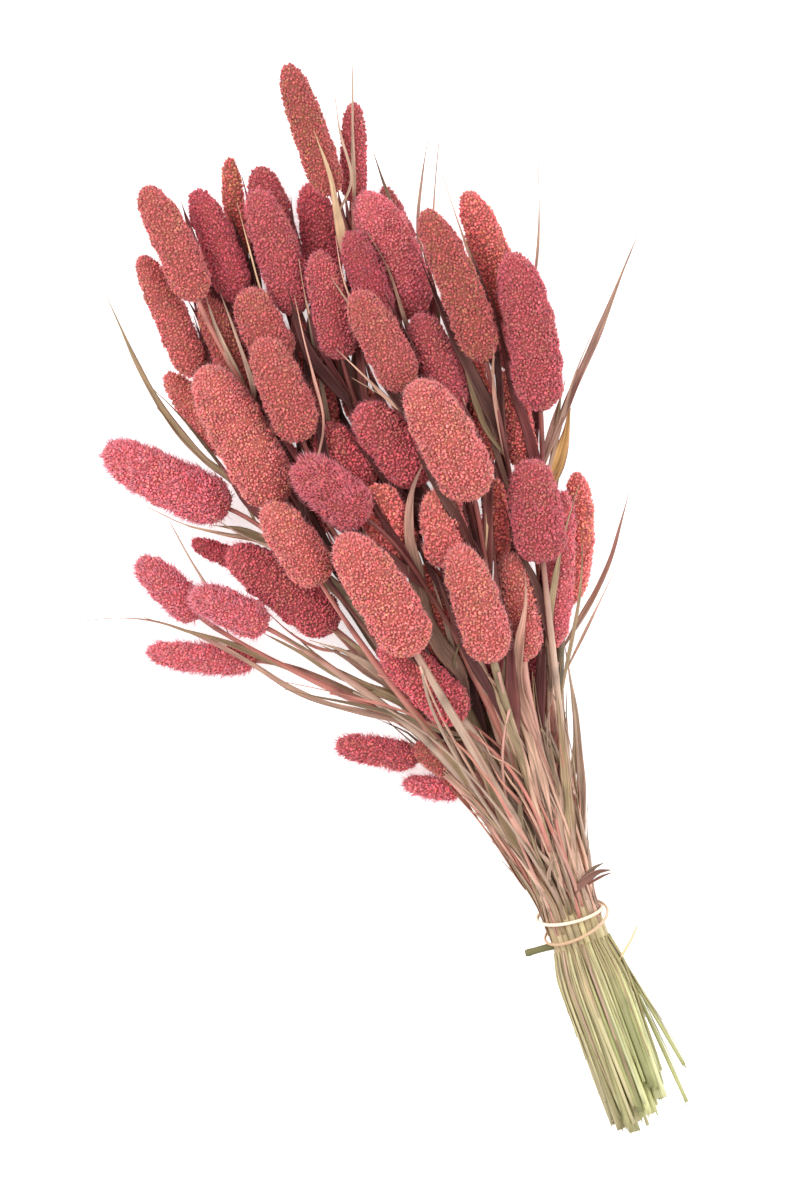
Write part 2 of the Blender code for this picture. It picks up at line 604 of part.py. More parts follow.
def tube(name, points, radii, sides, turn):
    level, upright = frames(points)
    level[-1], upright[-1] = (side[0] for side in frames(points[-2:]))
    angles = turn + 2 * math.pi * np.arange(sides) / sides
    rings = [
        point + radius * (np.outer(np.cos(angles), across) + np.outer(np.sin(angles), up))
        for point, radius, across, up in zip(points, radii, level, upright)
    ]
    return add_mesh(name, *loft(rings))


def add_head(stalk):
    """A head: a bent spindle with a flat foot, whose corners stand out and in by turns like rows of seeds."""
    places = (1 - np.cos(math.pi * np.linspace(0.0, 0.94, HEAD_RINGS))) / 2
    places[1:] = 0.35 * places[1:] + 0.65 * np.linspace(0.04, 0.97, HEAD_RINGS - 1)
    axis = along_curve(stalk.head, places * (HEAD_BEADS - 1))
    level, upright = frames(along_curve(stalk.head, np.linspace(0, HEAD_BEADS - 1, HEAD_RINGS)))
    angles = 2 * math.pi * (np.arange(HEAD_SIDES) + 0.5) / HEAD_SIDES
    rings = []
    for ring, share in enumerate(places):
        relief = RELIEF * np.where((np.arange(HEAD_SIDES) + ring) % 2, 1, -1)
        radius = stalk.radius * head_profile(share) + relief if ring else np.full(HEAD_SIDES, HEAD_BASE_RADIUS)
        out = np.outer(np.cos(angles), level[ring]) + np.outer(np.sin(angles), upright[ring])
        corners = axis[ring] + radius[:, None] * out
        corners[:, 2] = np.where(corners[:, 2] < PRESS_HEIGHT, FLAT_SPOT, corners[:, 2])
        rings.append(corners)
    return add_mesh(stalk.name, *loft(rings, tip=stalk.head[-1]))


def stray_rank(slot):
    """A stem's place counted from the right: the first ones stray from the bundle below the tie."""
    return sorted(bundle_slots(), reverse=True).index(slot)


def cut_end(index, slot):
    """The lower end of a stem: further out than its place in the tie, and no two cut alike."""
    length = CUT_LENGTH - CUT_SLANT * abs(slot[0] + CUT_MIDDLE) - CUT_SCATTER * (index * 0.618 % 1)
    across = slot[0] * CUT_SPREAD + CUT_LEAN * math.sin(2.4 * index)
    height = max(slot[1] * CUT_SPREAD + TIE_HEIGHT, STEM_RADIUS + FLAT_SPOT - 0.3)
    if stray_rank(slot) < len(STRAY_ENDS):
        across, length = STRAY_ENDS[stray_rank(slot)]
    return np.array([across, -length, height])


def lower_end(index, slot):
    """A stem's points from its cut end up to the tie: it flares out just below the band."""
    end = cut_end(index, slot)
    flare = np.array([slot[0] * FLARE, FLARE_END, slot[1] * FLARE + TIE_HEIGHT])
    share = (FLARE_END - FLARE_START) / (end[1] - FLARE_START)
    flare[0] = max(abs(flare[0]), abs(end[0]) * share) * math.copysign(1, end[0])
    flare[2] = max(flare[2], STEM_RADIUS + FLAT_SPOT - 0.3)
    return np.array([end, flare, (slot[0], FLARE_START, slot[1] + TIE_HEIGHT)])


def stem_radii(points, slot):
    """A stem's thickness: bare in the tie, clothed by its leaf sheath in the neck, slender under its head."""
    radii = np.interp(
        points[:, 1],
        (TIE_ZONE, 3 * TIE_ZONE, NECK_LENGTH, 1.3 * NECK_LENGTH),
        (STEM_RADIUS, NECK_STEM_RADIUS, NECK_STEM_RADIUS, STALK_RADIUS),
    )
    if stray_rank(slot) < len(STRAY_ENDS):
        radii = np.minimum(radii, np.interp(points[:, 1], (FLARE_END, 0), (STRAY_RADIUS, STEM_RADIUS)))
    return radii


def stem_path(index, stalk):
    """A stem from its cut end through the tie to just short of its head's foot."""
    foot = stalk.head[0] - JOINT_GAP * directions(stalk.head)[0]
    collar = stalk.head[0] - COLLAR_LENGTH * directions(stalk.head)[0]
    upper = np.vstack([stalk.stem[:-1], collar])
    upper = upper[simplified(upper, CURVE_TOLERANCE)]
    lower = lower_end(index, stalk.slot)
    return np.vstack([lower[simplified(lower, CURVE_TOLERANCE)], upper, foot])


def stem_sides(slot):
    """The stems that show round the bundle are rounder than those inside it."""
    return OUTER_STEM_SIDES if math.hypot(*slot) > (RING_COUNT - 0.5) * SLOT_PITCH else INNER_STEM_SIDES


def add_stem(index, stalk):
    path = stem_path(index, stalk)
    return tube(f"stem_{index}", path, stem_radii(path, stalk.slot), stem_sides(stalk.slot), 0.7 * index)


def add_bare_stem(index, slot):
    """A stem with no head, which ends inside the neck."""
    middle = np.array([slot[0], TIE_ZONE, slot[1] + TIE_HEIGHT])
    end = middle + (0.3 * slot[0], BARE_STEM_LENGTH - TIE_ZONE, 0.3 * slot[1] + 4)
    lower = lower_end(index, slot)
    path = np.vstack([lower[simplified(lower, CURVE_TOLERANCE)], middle, end])
    return tube(f"bare_stem_{index}", path, stem_radii(path, slot), stem_sides(slot), 0.7 * index)


def add_stub():
    """The short end of a thick stem that sticks out beside the tie."""
    return tube("stub", np.array(STUB_PATH), (STUB_RADIUS, STUB_RADIUS, 0.85 * STUB_RADIUS), 6, 0.0)


def add_core():
    """The middle of the bundle, which no side shows and which holds every stem."""
    low, high = CORE_ENDS
    along = (low, low + 8, -TIE_ZONE, TIE_ZONE, high - 14, high)
    radii = (6.0, CORE_RADIUS, CORE_RADIUS, CORE_RADIUS, CORE_RADIUS, 5.0)
    path = np.array([(0.0, y, TIE_HEIGHT) for y in along])
    return tube("core", path, radii, CORE_SIDES, 0.1)


def add_blade(index, blade):
    """A blade as a slab with a square edge, split into triangles alike on both faces."""
    across = blade.across(blade.middles)
    up = np.cross(across, directions(blade.middles)) * BLADE_THICKNESS / 2
    side = across * blade.half[:, None]
    middles = blade.middles
    rings = np.stack([middles - side - up, middles + side - up, middles + side + up, middles - side + up], axis=1)
    vertices, faces = loft(list(rings))
    split = []
    for face in faces:
        if len(face) == 4 and max(face) - min(face) > 3:
            a, b, c, d = face
            lower = a % 4 == 0
            split += [(a, b, c), (a, c, d)] if lower or a % 4 == 1 else [(a, b, d), (b, c, d)]
        else:
            split.append(face)
    return add_mesh(f"blade_{index}", vertices, split)


def islands(shape):
    """The faces of each connected skin."""
    left = set(shape.faces)
    while left:
        found, edge = set(), [left.pop()]
        while edge:
            face = edge.pop()
            found.add(face)
            beside = {other for side in face.edges for other in side.link_faces} & left
            left -= beside
            edge += beside
        yield found


def fill_voids(mesh):
    """Takes away the inner skins of the hollows that crossing stems close off, and edges that are too short."""
    shape = bmesh.new()
    shape.from_mesh(mesh)
    bmesh.ops.triangulate(shape, faces=shape.faces[:])
    bmesh.ops.remove_doubles(shape, verts=shape.verts[:], dist=SHORTEST_EDGE * MM)
    for skin in list(islands(shape)):
        volume = sum(a.co.dot(b.co.cross(c.co)) for a, b, c in (face.verts for face in skin)) / 6
        if volume < SMALLEST_PIECE * MM**3:
            bmesh.ops.delete(shape, geom=list(skin), context="FACES")
    shape.to_mesh(mesh)
    shape.free()


def united(name, pieces):
    """All the pieces joined into one node by a union with a collection that holds the rest of them."""
    rest = collection_named(f"{name}_pieces")
    for piece in pieces[1:]:
        collection_named(BUNCH).objects.unlink(piece)
        rest.objects.link(piece)
    whole = pieces[0]
    union = whole.modifiers.new("union", "BOOLEAN")
    union.operation = "UNION"
    union.operand_type = "COLLECTION"
    union.collection = rest
    union.solver = "MANIFOLD"
    bpy.context.view_layer.update()
    mesh = bpy.data.meshes.new_from_object(whole.evaluated_get(bpy.context.evaluated_depsgraph_get()))
    whole.modifiers.clear()
    fill_voids(mesh)
    whole.data = mesh
    for piece in pieces[1:]:
        bpy.data.objects.remove(piece)
    bpy.data.collections.remove(rest)
    whole.name = name
    return whole


def band_path(around):
    """The band's middle line: twice round the bundle, its turns crossing once at one side."""
    radius = RING_COUNT * SLOT_PITCH + STEM_RADIUS + BAND_CLEARANCE + BAND_RADIUS + BAND_CROSSING
    radius = radius + BAND_CROSSING * np.sin(around / 2)
    angle = around + math.pi * 0.9
    return np.column_stack(
        [
            radius * np.cos(angle),
            BAND_MIDDLE + BAND_SPREAD * np.cos(around / 2) - BAND_TILT * np.sin(angle),
            radius * np.sin(angle) + TIE_HEIGHT,
        ]
    )


def add_tie():
    around = np.linspace(0, 4 * math.pi, BAND_POINTS, endpoint=False)
    path = band_path(around)
    way = band_path(around + 0.01) - band_path(around - 0.01)
    way /= np.linalg.norm(way, axis=1)[:, None]
    out = path - (0, 0, TIE_HEIGHT)
    out[:, 1] = 0
    across = np.cross(way, out)
    across /= np.linalg.norm(across, axis=1)[:, None]
    out = np.cross(across, way)
    angles = 2 * math.pi * np.arange(6) / 6
    rings = path[:, None] + BAND_RADIUS * (
        np.cos(angles)[None, :, None] * across[:, None] + np.sin(angles)[None, :, None] * out[:, None]
    )
    vertices, faces = loft(list(rings) + [rings[0]], cap_start=False, cap_end=False)
    count = len(rings) * 6
    faces = [tuple(corner % count for corner in face) for face in faces]
    return add_mesh("tie", vertices[:count], faces)


def centre(nodes):
    """Moves every node so that the bunch's box is centred on the origin."""
    corners = np.array([vertex.co for node in nodes for vertex in node.data.vertices])
    middle = (corners.min(axis=0) + corners.max(axis=0)) / 2
    for node in nodes:
        for vertex in node.data.vertices:
            vertex.co.x -= middle[0]
            vertex.co.y -= middle[1]


def main():
    for startup in list(bpy.data.objects):
        bpy.data.objects.remove(startup)
    stalks = {name: Stalk(name, *place) for name, place in HEADS.items()}
    bare_slots = give_slots(list(stalks.values()))
    settle(list(stalks.values()))
    heads = head_balls(stalks.values())
    stems = stem_balls(stalks.values())
    blades = [Blade(index, stalks, heads, stems, *blade) for index, blade in enumerate(BLADES)]
    pieces = [add_core(), add_stub()]
    pieces += [add_stem(index, stalk) for index, stalk in enumerate(stalks.values())]
    pieces += [add_bare_stem(len(stalks) + index, slot) for index, slot in enumerate(bare_slots)]
    pieces += [add_blade(index, blade) for index, blade in enumerate(blades)]
    leafy_stems = united("leafy_stems", pieces)
    paint(leafy_stems, "dried_leaf", LEAF_TONE, LEAF_ROUGHNESS)
    tie = add_tie()
    paint(tie, "rubber", BAND_TONE, BAND_ROUGHNESS)
    nodes = [leafy_stems, tie]
    for stalk in stalks.values():
        head = add_head(stalk)
        paint(head, f"{stalk.tone}_seeds", HEAD_TONES[stalk.tone], HEAD_ROUGHNESS)
        nodes.append(head)
    centre(nodes)


main()
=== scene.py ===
# The looks of a cut bunch of dried, dyed foxtail millet, tied once round its stems and laid on a surface.
# Each piece stands for a solid of the CAD model, whose layout is repeated here, and adds what is finer:
# seeds, bristles, leaf sheaths, veins and colour. Lengths are in millimetres until a mesh is made.
import json
import math

import bpy
import numpy as np
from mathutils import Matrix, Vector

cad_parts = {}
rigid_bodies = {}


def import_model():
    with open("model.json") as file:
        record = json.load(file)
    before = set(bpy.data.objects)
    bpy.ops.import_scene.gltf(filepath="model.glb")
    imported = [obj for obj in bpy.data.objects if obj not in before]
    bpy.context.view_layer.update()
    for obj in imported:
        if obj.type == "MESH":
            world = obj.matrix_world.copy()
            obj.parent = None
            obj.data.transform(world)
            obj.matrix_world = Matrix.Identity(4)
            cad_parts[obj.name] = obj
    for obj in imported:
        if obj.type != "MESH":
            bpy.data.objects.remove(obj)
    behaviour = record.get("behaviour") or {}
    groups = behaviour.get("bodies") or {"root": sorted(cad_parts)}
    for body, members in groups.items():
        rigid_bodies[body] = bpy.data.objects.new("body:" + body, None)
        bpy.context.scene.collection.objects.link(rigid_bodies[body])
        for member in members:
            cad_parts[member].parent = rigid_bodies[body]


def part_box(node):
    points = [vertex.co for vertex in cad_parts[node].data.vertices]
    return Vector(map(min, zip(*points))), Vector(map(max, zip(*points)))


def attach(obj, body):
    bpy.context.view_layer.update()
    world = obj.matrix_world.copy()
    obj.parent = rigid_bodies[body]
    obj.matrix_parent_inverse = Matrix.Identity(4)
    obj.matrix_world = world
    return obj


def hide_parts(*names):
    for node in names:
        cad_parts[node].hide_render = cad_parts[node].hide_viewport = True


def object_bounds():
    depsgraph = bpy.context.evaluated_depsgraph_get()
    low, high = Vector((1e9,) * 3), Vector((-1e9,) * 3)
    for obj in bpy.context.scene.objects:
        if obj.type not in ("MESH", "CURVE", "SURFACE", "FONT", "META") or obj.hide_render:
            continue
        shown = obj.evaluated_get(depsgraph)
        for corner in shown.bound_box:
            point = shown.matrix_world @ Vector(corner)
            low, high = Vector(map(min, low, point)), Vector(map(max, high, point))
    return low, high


MM = 0.001
UP = (0.0, 0.0, 1.0)

# The photo's frame, scale and lean, for the places that are read from the photo in its pixels
PHOTO_SIZE = (800, 1200)
MM_PER_PIXEL = 0.55
LEAN = math.radians(20)
TIE_PIXEL = (575, 925)

# The tied bundle of stems
TIE_HEIGHT = 23.5
FAN_HEIGHT = 25.0
TIE_ZONE = 14.0
SLOT_PITCH = 3.5
RING_COUNT = 4
RING_TURN = 0.4
STEM_RADIUS = 1.8
NECK_STEM_RADIUS = 2.3
NECK_LENGTH = 150.0
NECK_SPREAD = (0.22, 0.24)
NECK_END = 135.0
STALK_RADIUS = 1.3
CUT_LENGTH = 120.0
CUT_SCATTER = 20.0
GOLDEN_TURN = 0.618
CUT_SLANT = 0.9
CUT_MIDDLE = 6.0
CUT_SPREAD = 1.18
FLARE_START = -10.0
FLARE_END = -32.0
FLARE = 1.27
CUT_LEAN = 1.3
STRAY_ENDS = ((29.9, 91.6), (24.4, 111.3))
STRAY_RADIUS = 1.1
BARE_STEM_LENGTH = 70.0
STUB_RADIUS = 2.1
STUB_PATH = ((-9.0, -6.8, TIE_HEIGHT + 1), (-20.0, -5.4, TIE_HEIGHT + 2), (-31.0, -4.6, TIE_HEIGHT + 3))

# The heads
LEVEL_HEIGHTS = (13.0, 92.0)
TOP_LEVEL = 4
HEAD_TILT = 0.5
BASE_TAPER = 5.0
TIP_TAPER = 3.2
BASE_FULLNESS = 1.05
NARROWING = 0.15
RELIEF = 1.2
FLAT_SPOT = 2.5
LOWEST_STEM = STEM_RADIUS + FLAT_SPOT - 0.3

# How the bunch settles: a stalk is a chain of beads that push the other stalks' beads aside
BEAD_PITCH = 8.0
FEWEST_BEADS = 5
LEAVE_PULL = 0.5
ARRIVE_PULL = 0.6
CLIMB = 1.1
HEAD_BEADS = 8
HEAD_BALLS = 24
CLEARANCE = 1.6
HEAD_GIVE = 0.35
HEAD_HOLD = 0.25
BEYOND = 1e3
SETTLE_ROUNDS = 500
PAIR_ROUNDS = 10
PAIR_REACH = 6.0
STIFFNESS = 0.5
HEIGHT_HOLD = 0.03
FLOOR_GAP = 0.2

# The blades as the CAD model lays them
BLADE_THICKNESS = 0.7
BLADE_PITCH = 22.0
BLADE_CLEARANCE = 0.9
BLADE_ROLL = 0.35
BLADE_TWIST = 5.0
BLADE_ROUNDS = 120
BLADE_NEAR = 40.0
BLADE_STIFFNESS = 0.3
BLADE_SINKING = 0.08
BLADE_HOLD = 0.15
BLADE_PUSH = 0.7
ROOT_SINK = 0.8
STEM_LIFT = 0.7
LAYER_LIFT = 0.9

# The band
BAND_RADIUS = 1.0
BAND_CLEARANCE = 0.4
BAND_MIDDLE = 4.3
BAND_SPREAD = 5.8
BAND_CROSSING = 1.2
BAND_TILT = 6.0
BAND_POINTS = 160
BAND_SIDES = 10
BAND_STRETCH = 0.78
BAND_SECTION = (1.05, 0.92)

# Seeds and bristles
SEED_PITCH = 1.75
SEED_LENGTH = 2.3
SEED_WIDTH = 2.0
SEED_SIDES = 3
SEED_SIZES = (0.75, 1.2)
SEED_WIDEST = 0.58
SEED_SCATTER = 0.28
SEED_UNEVENNESS = 0.22
SEED_DISORDER = 0.25
SEED_LEAN = 0.6
SEED_RISE = -0.3
LOBE_HEIGHT = 0.45
LOBE_SHADE = 0.08
SWELL = 0.035
FOOT_SHADE = 0.8
TIP_SHADE = 0.4
CORE_SHARE = 0.95
CORE_SIDES = 24
CORE_RINGS = 18
CORE_PAINTED_SHADE = 0.5
CORE_FADE = 0.3
BRISTLE_AREA = 3.5
BRISTLE_LENGTH = 3.5
BRISTLE_WIDTH = 0.32
BRISTLE_LEAN = 0.8
BRISTLE_SINK = 0.3
BRISTLE_SIZES = (0.6, 1.25)
BRISTLE_DISORDER = 0.3
BRISTLE_ROOT_SHADE = 0.85
BRISTLE_LIGHTS = (0.95, 1.25)
SHORTEST_BRISTLE = 0.8
BRISTLE_CEILING = 2.8
SEED_CEILING = 3.2

# Leaves, sheaths and stems
LEAF_PITCH = 3.5
LEAF_POINTS = 6
LEAF_THICKNESS = 0.45
LEAF_LEAST_HALF = 0.25
LEAF_CURL = 0.35
LEAF_WAVE = 0.16
LEAF_RIB = 0.1
STRAND_PITCH = 5.0
BLADE_TWISTS = (1.2, 0.3)
STRAND_TWISTS = (1.5, 1.5)
SHEATH_COUNT = 210
SHEATH_HALF_WIDTHS = (0.6, 2.1)
SHEATH_LIFT = 0.4
SHEATH_PITCH = 7.0
SHEATH_REACH = (0.0, 9.0)
SHEATH_STARTS = ((-4.0, 14.0), (4.0, 85.0))
SHEATH_LENGTHS = (45.0, 110.0)
SHEATH_ENDS = (0.5, 6.0)
SHEATH_WANDER = (0.6, 2.8)
SHEATH_TWISTS = (-2.2, 2.2)
SHEATH_CURLS = (-0.6, 0.3)
LOWER_SHEATH_COUNT = 50
LOWER_SHEATH_HALF_WIDTHS = (0.5, 1.2)
LOWER_SHEATH_SHARES = (0.45, 0.97)
LOWER_SHEATH_CURL = -0.5
THIN_STRAW_RADIUS = 0.95
THIN_STRAW_LIFT = 1.2
THIN_SIDES = 6
NECK_STRAW_COUNT = 60
NECK_STRAW_REACH = (4.0, 13.0)
NECK_STRAW_STARTS = (-3.0, 50.0)
NECK_STRAW_ENDS = (90.0, 190.0)
NECK_STRAW_LIFTS = (0.8, 2.6)
NECK_STRAW_LIGHTS = (0.85, 1.05)
NECK_STRAW_RADII = (0.7, 1.2)
SWELL_ZONE = (14.0, 34.0)
STEM_PITCH = 7.0
FEWEST_STEPS = 5
STEM_SIDES = 8
LOWER_STEM_POINTS = 12
LOWER_STEM_BOW = 0.7
NODE_EVERY = 11
NODE_SWELL = 1.1
NODE_SHADE = 0.62
FRAY_COUNT = 4
FRAY_LENGTHS = (2.5, 6.5)
FRAY_WIDTH = 0.7
FRAY_DISORDER = 0.16
TWIG_PITCH = 3.0
TWIG_RADII = (1.1, 0.5)
# The rings of a cut face: how far up the stem, in steps of CUT_DEPTH, and how wide as a share of the stem
CUT_DEPTH = 0.25
CUT_FACE = ((1, 0.2), (-1, 0.72), (2, 0.75))
# The seeds of the random draws for the stems, the leaves and the flag leaves
STEM_DRAWS = 101
LEAF_DRAWS = 202
FLAG_LEAF_DRAWS = 303

# The leaves that grow just below the heads and lie in the gaps between them, dark as painted shade there
CROWD_REACH = 52.0
CROWD_LEAST = 5
FLAG_LEAF_ROOT = 50.0
FLAG_LEAF_GAP = 3.0
FLAG_LEAF_PITCH = 8.0
FLAG_LEAF_HALF_WIDTHS = (2.4, 4.0)
FLAG_LEAF_ROUNDS = 40

# The floor, the lights and the camera: lengths in metres, the sensor in millimetres
FLOOR_SIZE = 30
FLOOR_DROP = -0.0002
FLOOR_GLOW = 0.55
SKY_COLOUR = (1.0, 0.985, 0.98, 1)
SKY_STRENGTH = 0.9
KEY_POWER = 48.0
KEY_SIZE = 1.6
KEY_PLACE = (-1.1, 1.2, 2.2)
FILL_POWER = 22.0
FILL_PLACE = (1.6, -0.4, 1.6)
CAMERA_HEIGHT = 6.0
SENSOR = 36.0

# Each head in the photo's pixels: tip, base, width, level (0 on the surface, 4 on top), bend, tone
HEADS = {
    "head_01": ((288, 71), (333, 200), 34, 3.0, 0, "brick"),
    "head_02": ((354, 107), (354, 205), 25, 2.0, 0, "rose"),
    "head_03": ((147, 192), (200, 304), 39, 3.0, 3, "coral"),
    "head_04": ((196, 194), (238, 305), 36, 2.0, 3, "crimson"),
    "head_05": ((230, 160), (243, 262), 21, 1.0, 0, "brick"),
    "head_06": ((258, 170), (292, 272), 38, 1.0, 3, "rose"),
    "head_07": ((255, 196), (294, 318), 43, 2.6, 3, "rose"),
    "head_08": ((309, 186), (322, 300), 38, 1.0, 0, "crimson"),
    "head_09": ((143, 259), (198, 378), 33, 2.0, 3, "coral"),
    "head_10": ((207, 300), (247, 402), 35, 2.0, 3, "brick"),
    "head_11": ((250, 292), (290, 362), 43, 2.8, 0, "coral"),
    "head_12": ((262, 343), (304, 442), 45, 3.4, 2, "coral"),
    "head_13": ((318, 256), (342, 362), 38, 3.0, 2, "rose"),
    "head_14": ((363, 198), (410, 322), 50, 2.0, 3, "magenta"),
    "head_15": ((383, 189), (417, 275), 20, 0.8, 2, "rose"),
    "head_16": ((424, 217), (484, 364), 40, 4.0, 4, "brick"),
    "head_17": ((465, 196), (506, 330), 37, 2.6, 5, "coral"),
    "head_18": ((509, 258), (541, 413), 49, 3.6, 5, "rose"),
    "head_19": ((355, 297), (403, 394), 42, 4.0, 3, "coral"),
    "head_20": ((417, 318), (452, 420), 42, 3.0, 3, "rose"),
    "head_21": ((344, 384), (388, 462), 36, 1.8, 2, "brick"),
    "head_22": ((204, 371), (279, 506), 57, 3.1, 2, "salmon"),
    "head_23": ((358, 410), (420, 490), 50, 3.0, 2, "rose"),
    "head_24": ((299, 464), (370, 518), 46, 3.5, 0, "rose"),
    "head_25": ((322, 428), (372, 492), 44, 2.4, 0, "rose"),
    "head_26": ((413, 386), (475, 500), 56, 4.0, 2, "salmon"),
    "head_27": ((375, 487), (402, 556), 46, 2.6, 0, "salmon"),
    "head_28": ((438, 482), (450, 566), 44, 3.5, 0, "salmon"),
    "head_29": ((493, 480), (497, 560), 26, 2.0, 0, "salmon"),
    "head_30": ((527, 462), (540, 562), 50, 3.6, 0, "rose"),
    "head_31": ((575, 473), (564, 604), 30, 1.6, 7, "salmon"),
    "head_32": ((268, 507), (323, 582), 44, 3.3, 2, "salmon"),
    "head_33": ((342, 537), (415, 650), 55, 4.0, 3, "salmon"),
    "head_34": ((455, 548), (492, 660), 46, 4.0, 2, "salmon"),
    "head_35": ((510, 553), (522, 660), 40, 3.0, 2, "salmon"),
    "head_36": ((562, 492), (549, 648), 28, 2.2, 2, "magenta"),
    "head_37": ((107, 449), (229, 510), 49, 1.4, -3, "magenta"),
    "head_38": ((193, 542), (250, 566), 20, 0.4, 0, "crimson"),
    "head_39": ((230, 550), (335, 629), 48, 1.4, 2, "rose"),
    "head_40": ((140, 561), (190, 620), 35, 1.0, 2, "magenta"),
    "head_41": ((194, 594), (264, 629), 36, 2.0, 2, "magenta"),
    "head_42": ((148, 651), (250, 663), 28, 0.2, -2, "magenta"),
    "head_43": ((337, 744), (420, 757), 28, 0.8, 0, "rose"),
    "head_44": ((416, 744), (452, 768), 26, 1.2, 0, "brick"),
    "head_45": ((404, 783), (460, 791), 21, 0.0, 0, "magenta"),
    "head_46": ((382, 642), (462, 718), 44, 2.6, 2, "rose"),
    "head_47": ((168, 375), (232, 455), 30, 0.8, 0, "salmon"),
    "head_48": ((506, 372), (521, 470), 30, 2.2, 0, "coral"),
    "head_49": ((463, 345), (490, 462), 32, 2.0, 0, "coral"),
    "head_50": ((425, 565), (447, 664), 34, 2.4, 0, "salmon"),
    "head_51": ((516, 630), (538, 722), 30, 0.8, 0, "crimson"),
    "head_52": ((468, 630), (496, 712), 30, 1.0, 0, "crimson"),
    "head_53": ((352, 236), (386, 322), 34, 2.8, 0, "crimson"),
    "head_54": ((296, 324), (330, 437), 30, 2.3, 2, "coral"),
    # Heads that only the underside shows
    "head_55": ((486, 262), (520, 372), 40, 0.0, 0, "rose"),
    "head_56": ((196, 262), (250, 352), 40, 0.0, 0, "crimson"),
    "head_57": ((402, 380), (440, 480), 42, 0.0, 0, "salmon"),
    "head_58": ((268, 440), (330, 530), 42, 0.0, 0, "rose"),
}

# The heads whose bristles are longest in the photo
FUZZ = 1.7
FUZZY_HEADS = ("head_37", "head_40", "head_41", "head_42", "head_43", "head_45", "head_24")

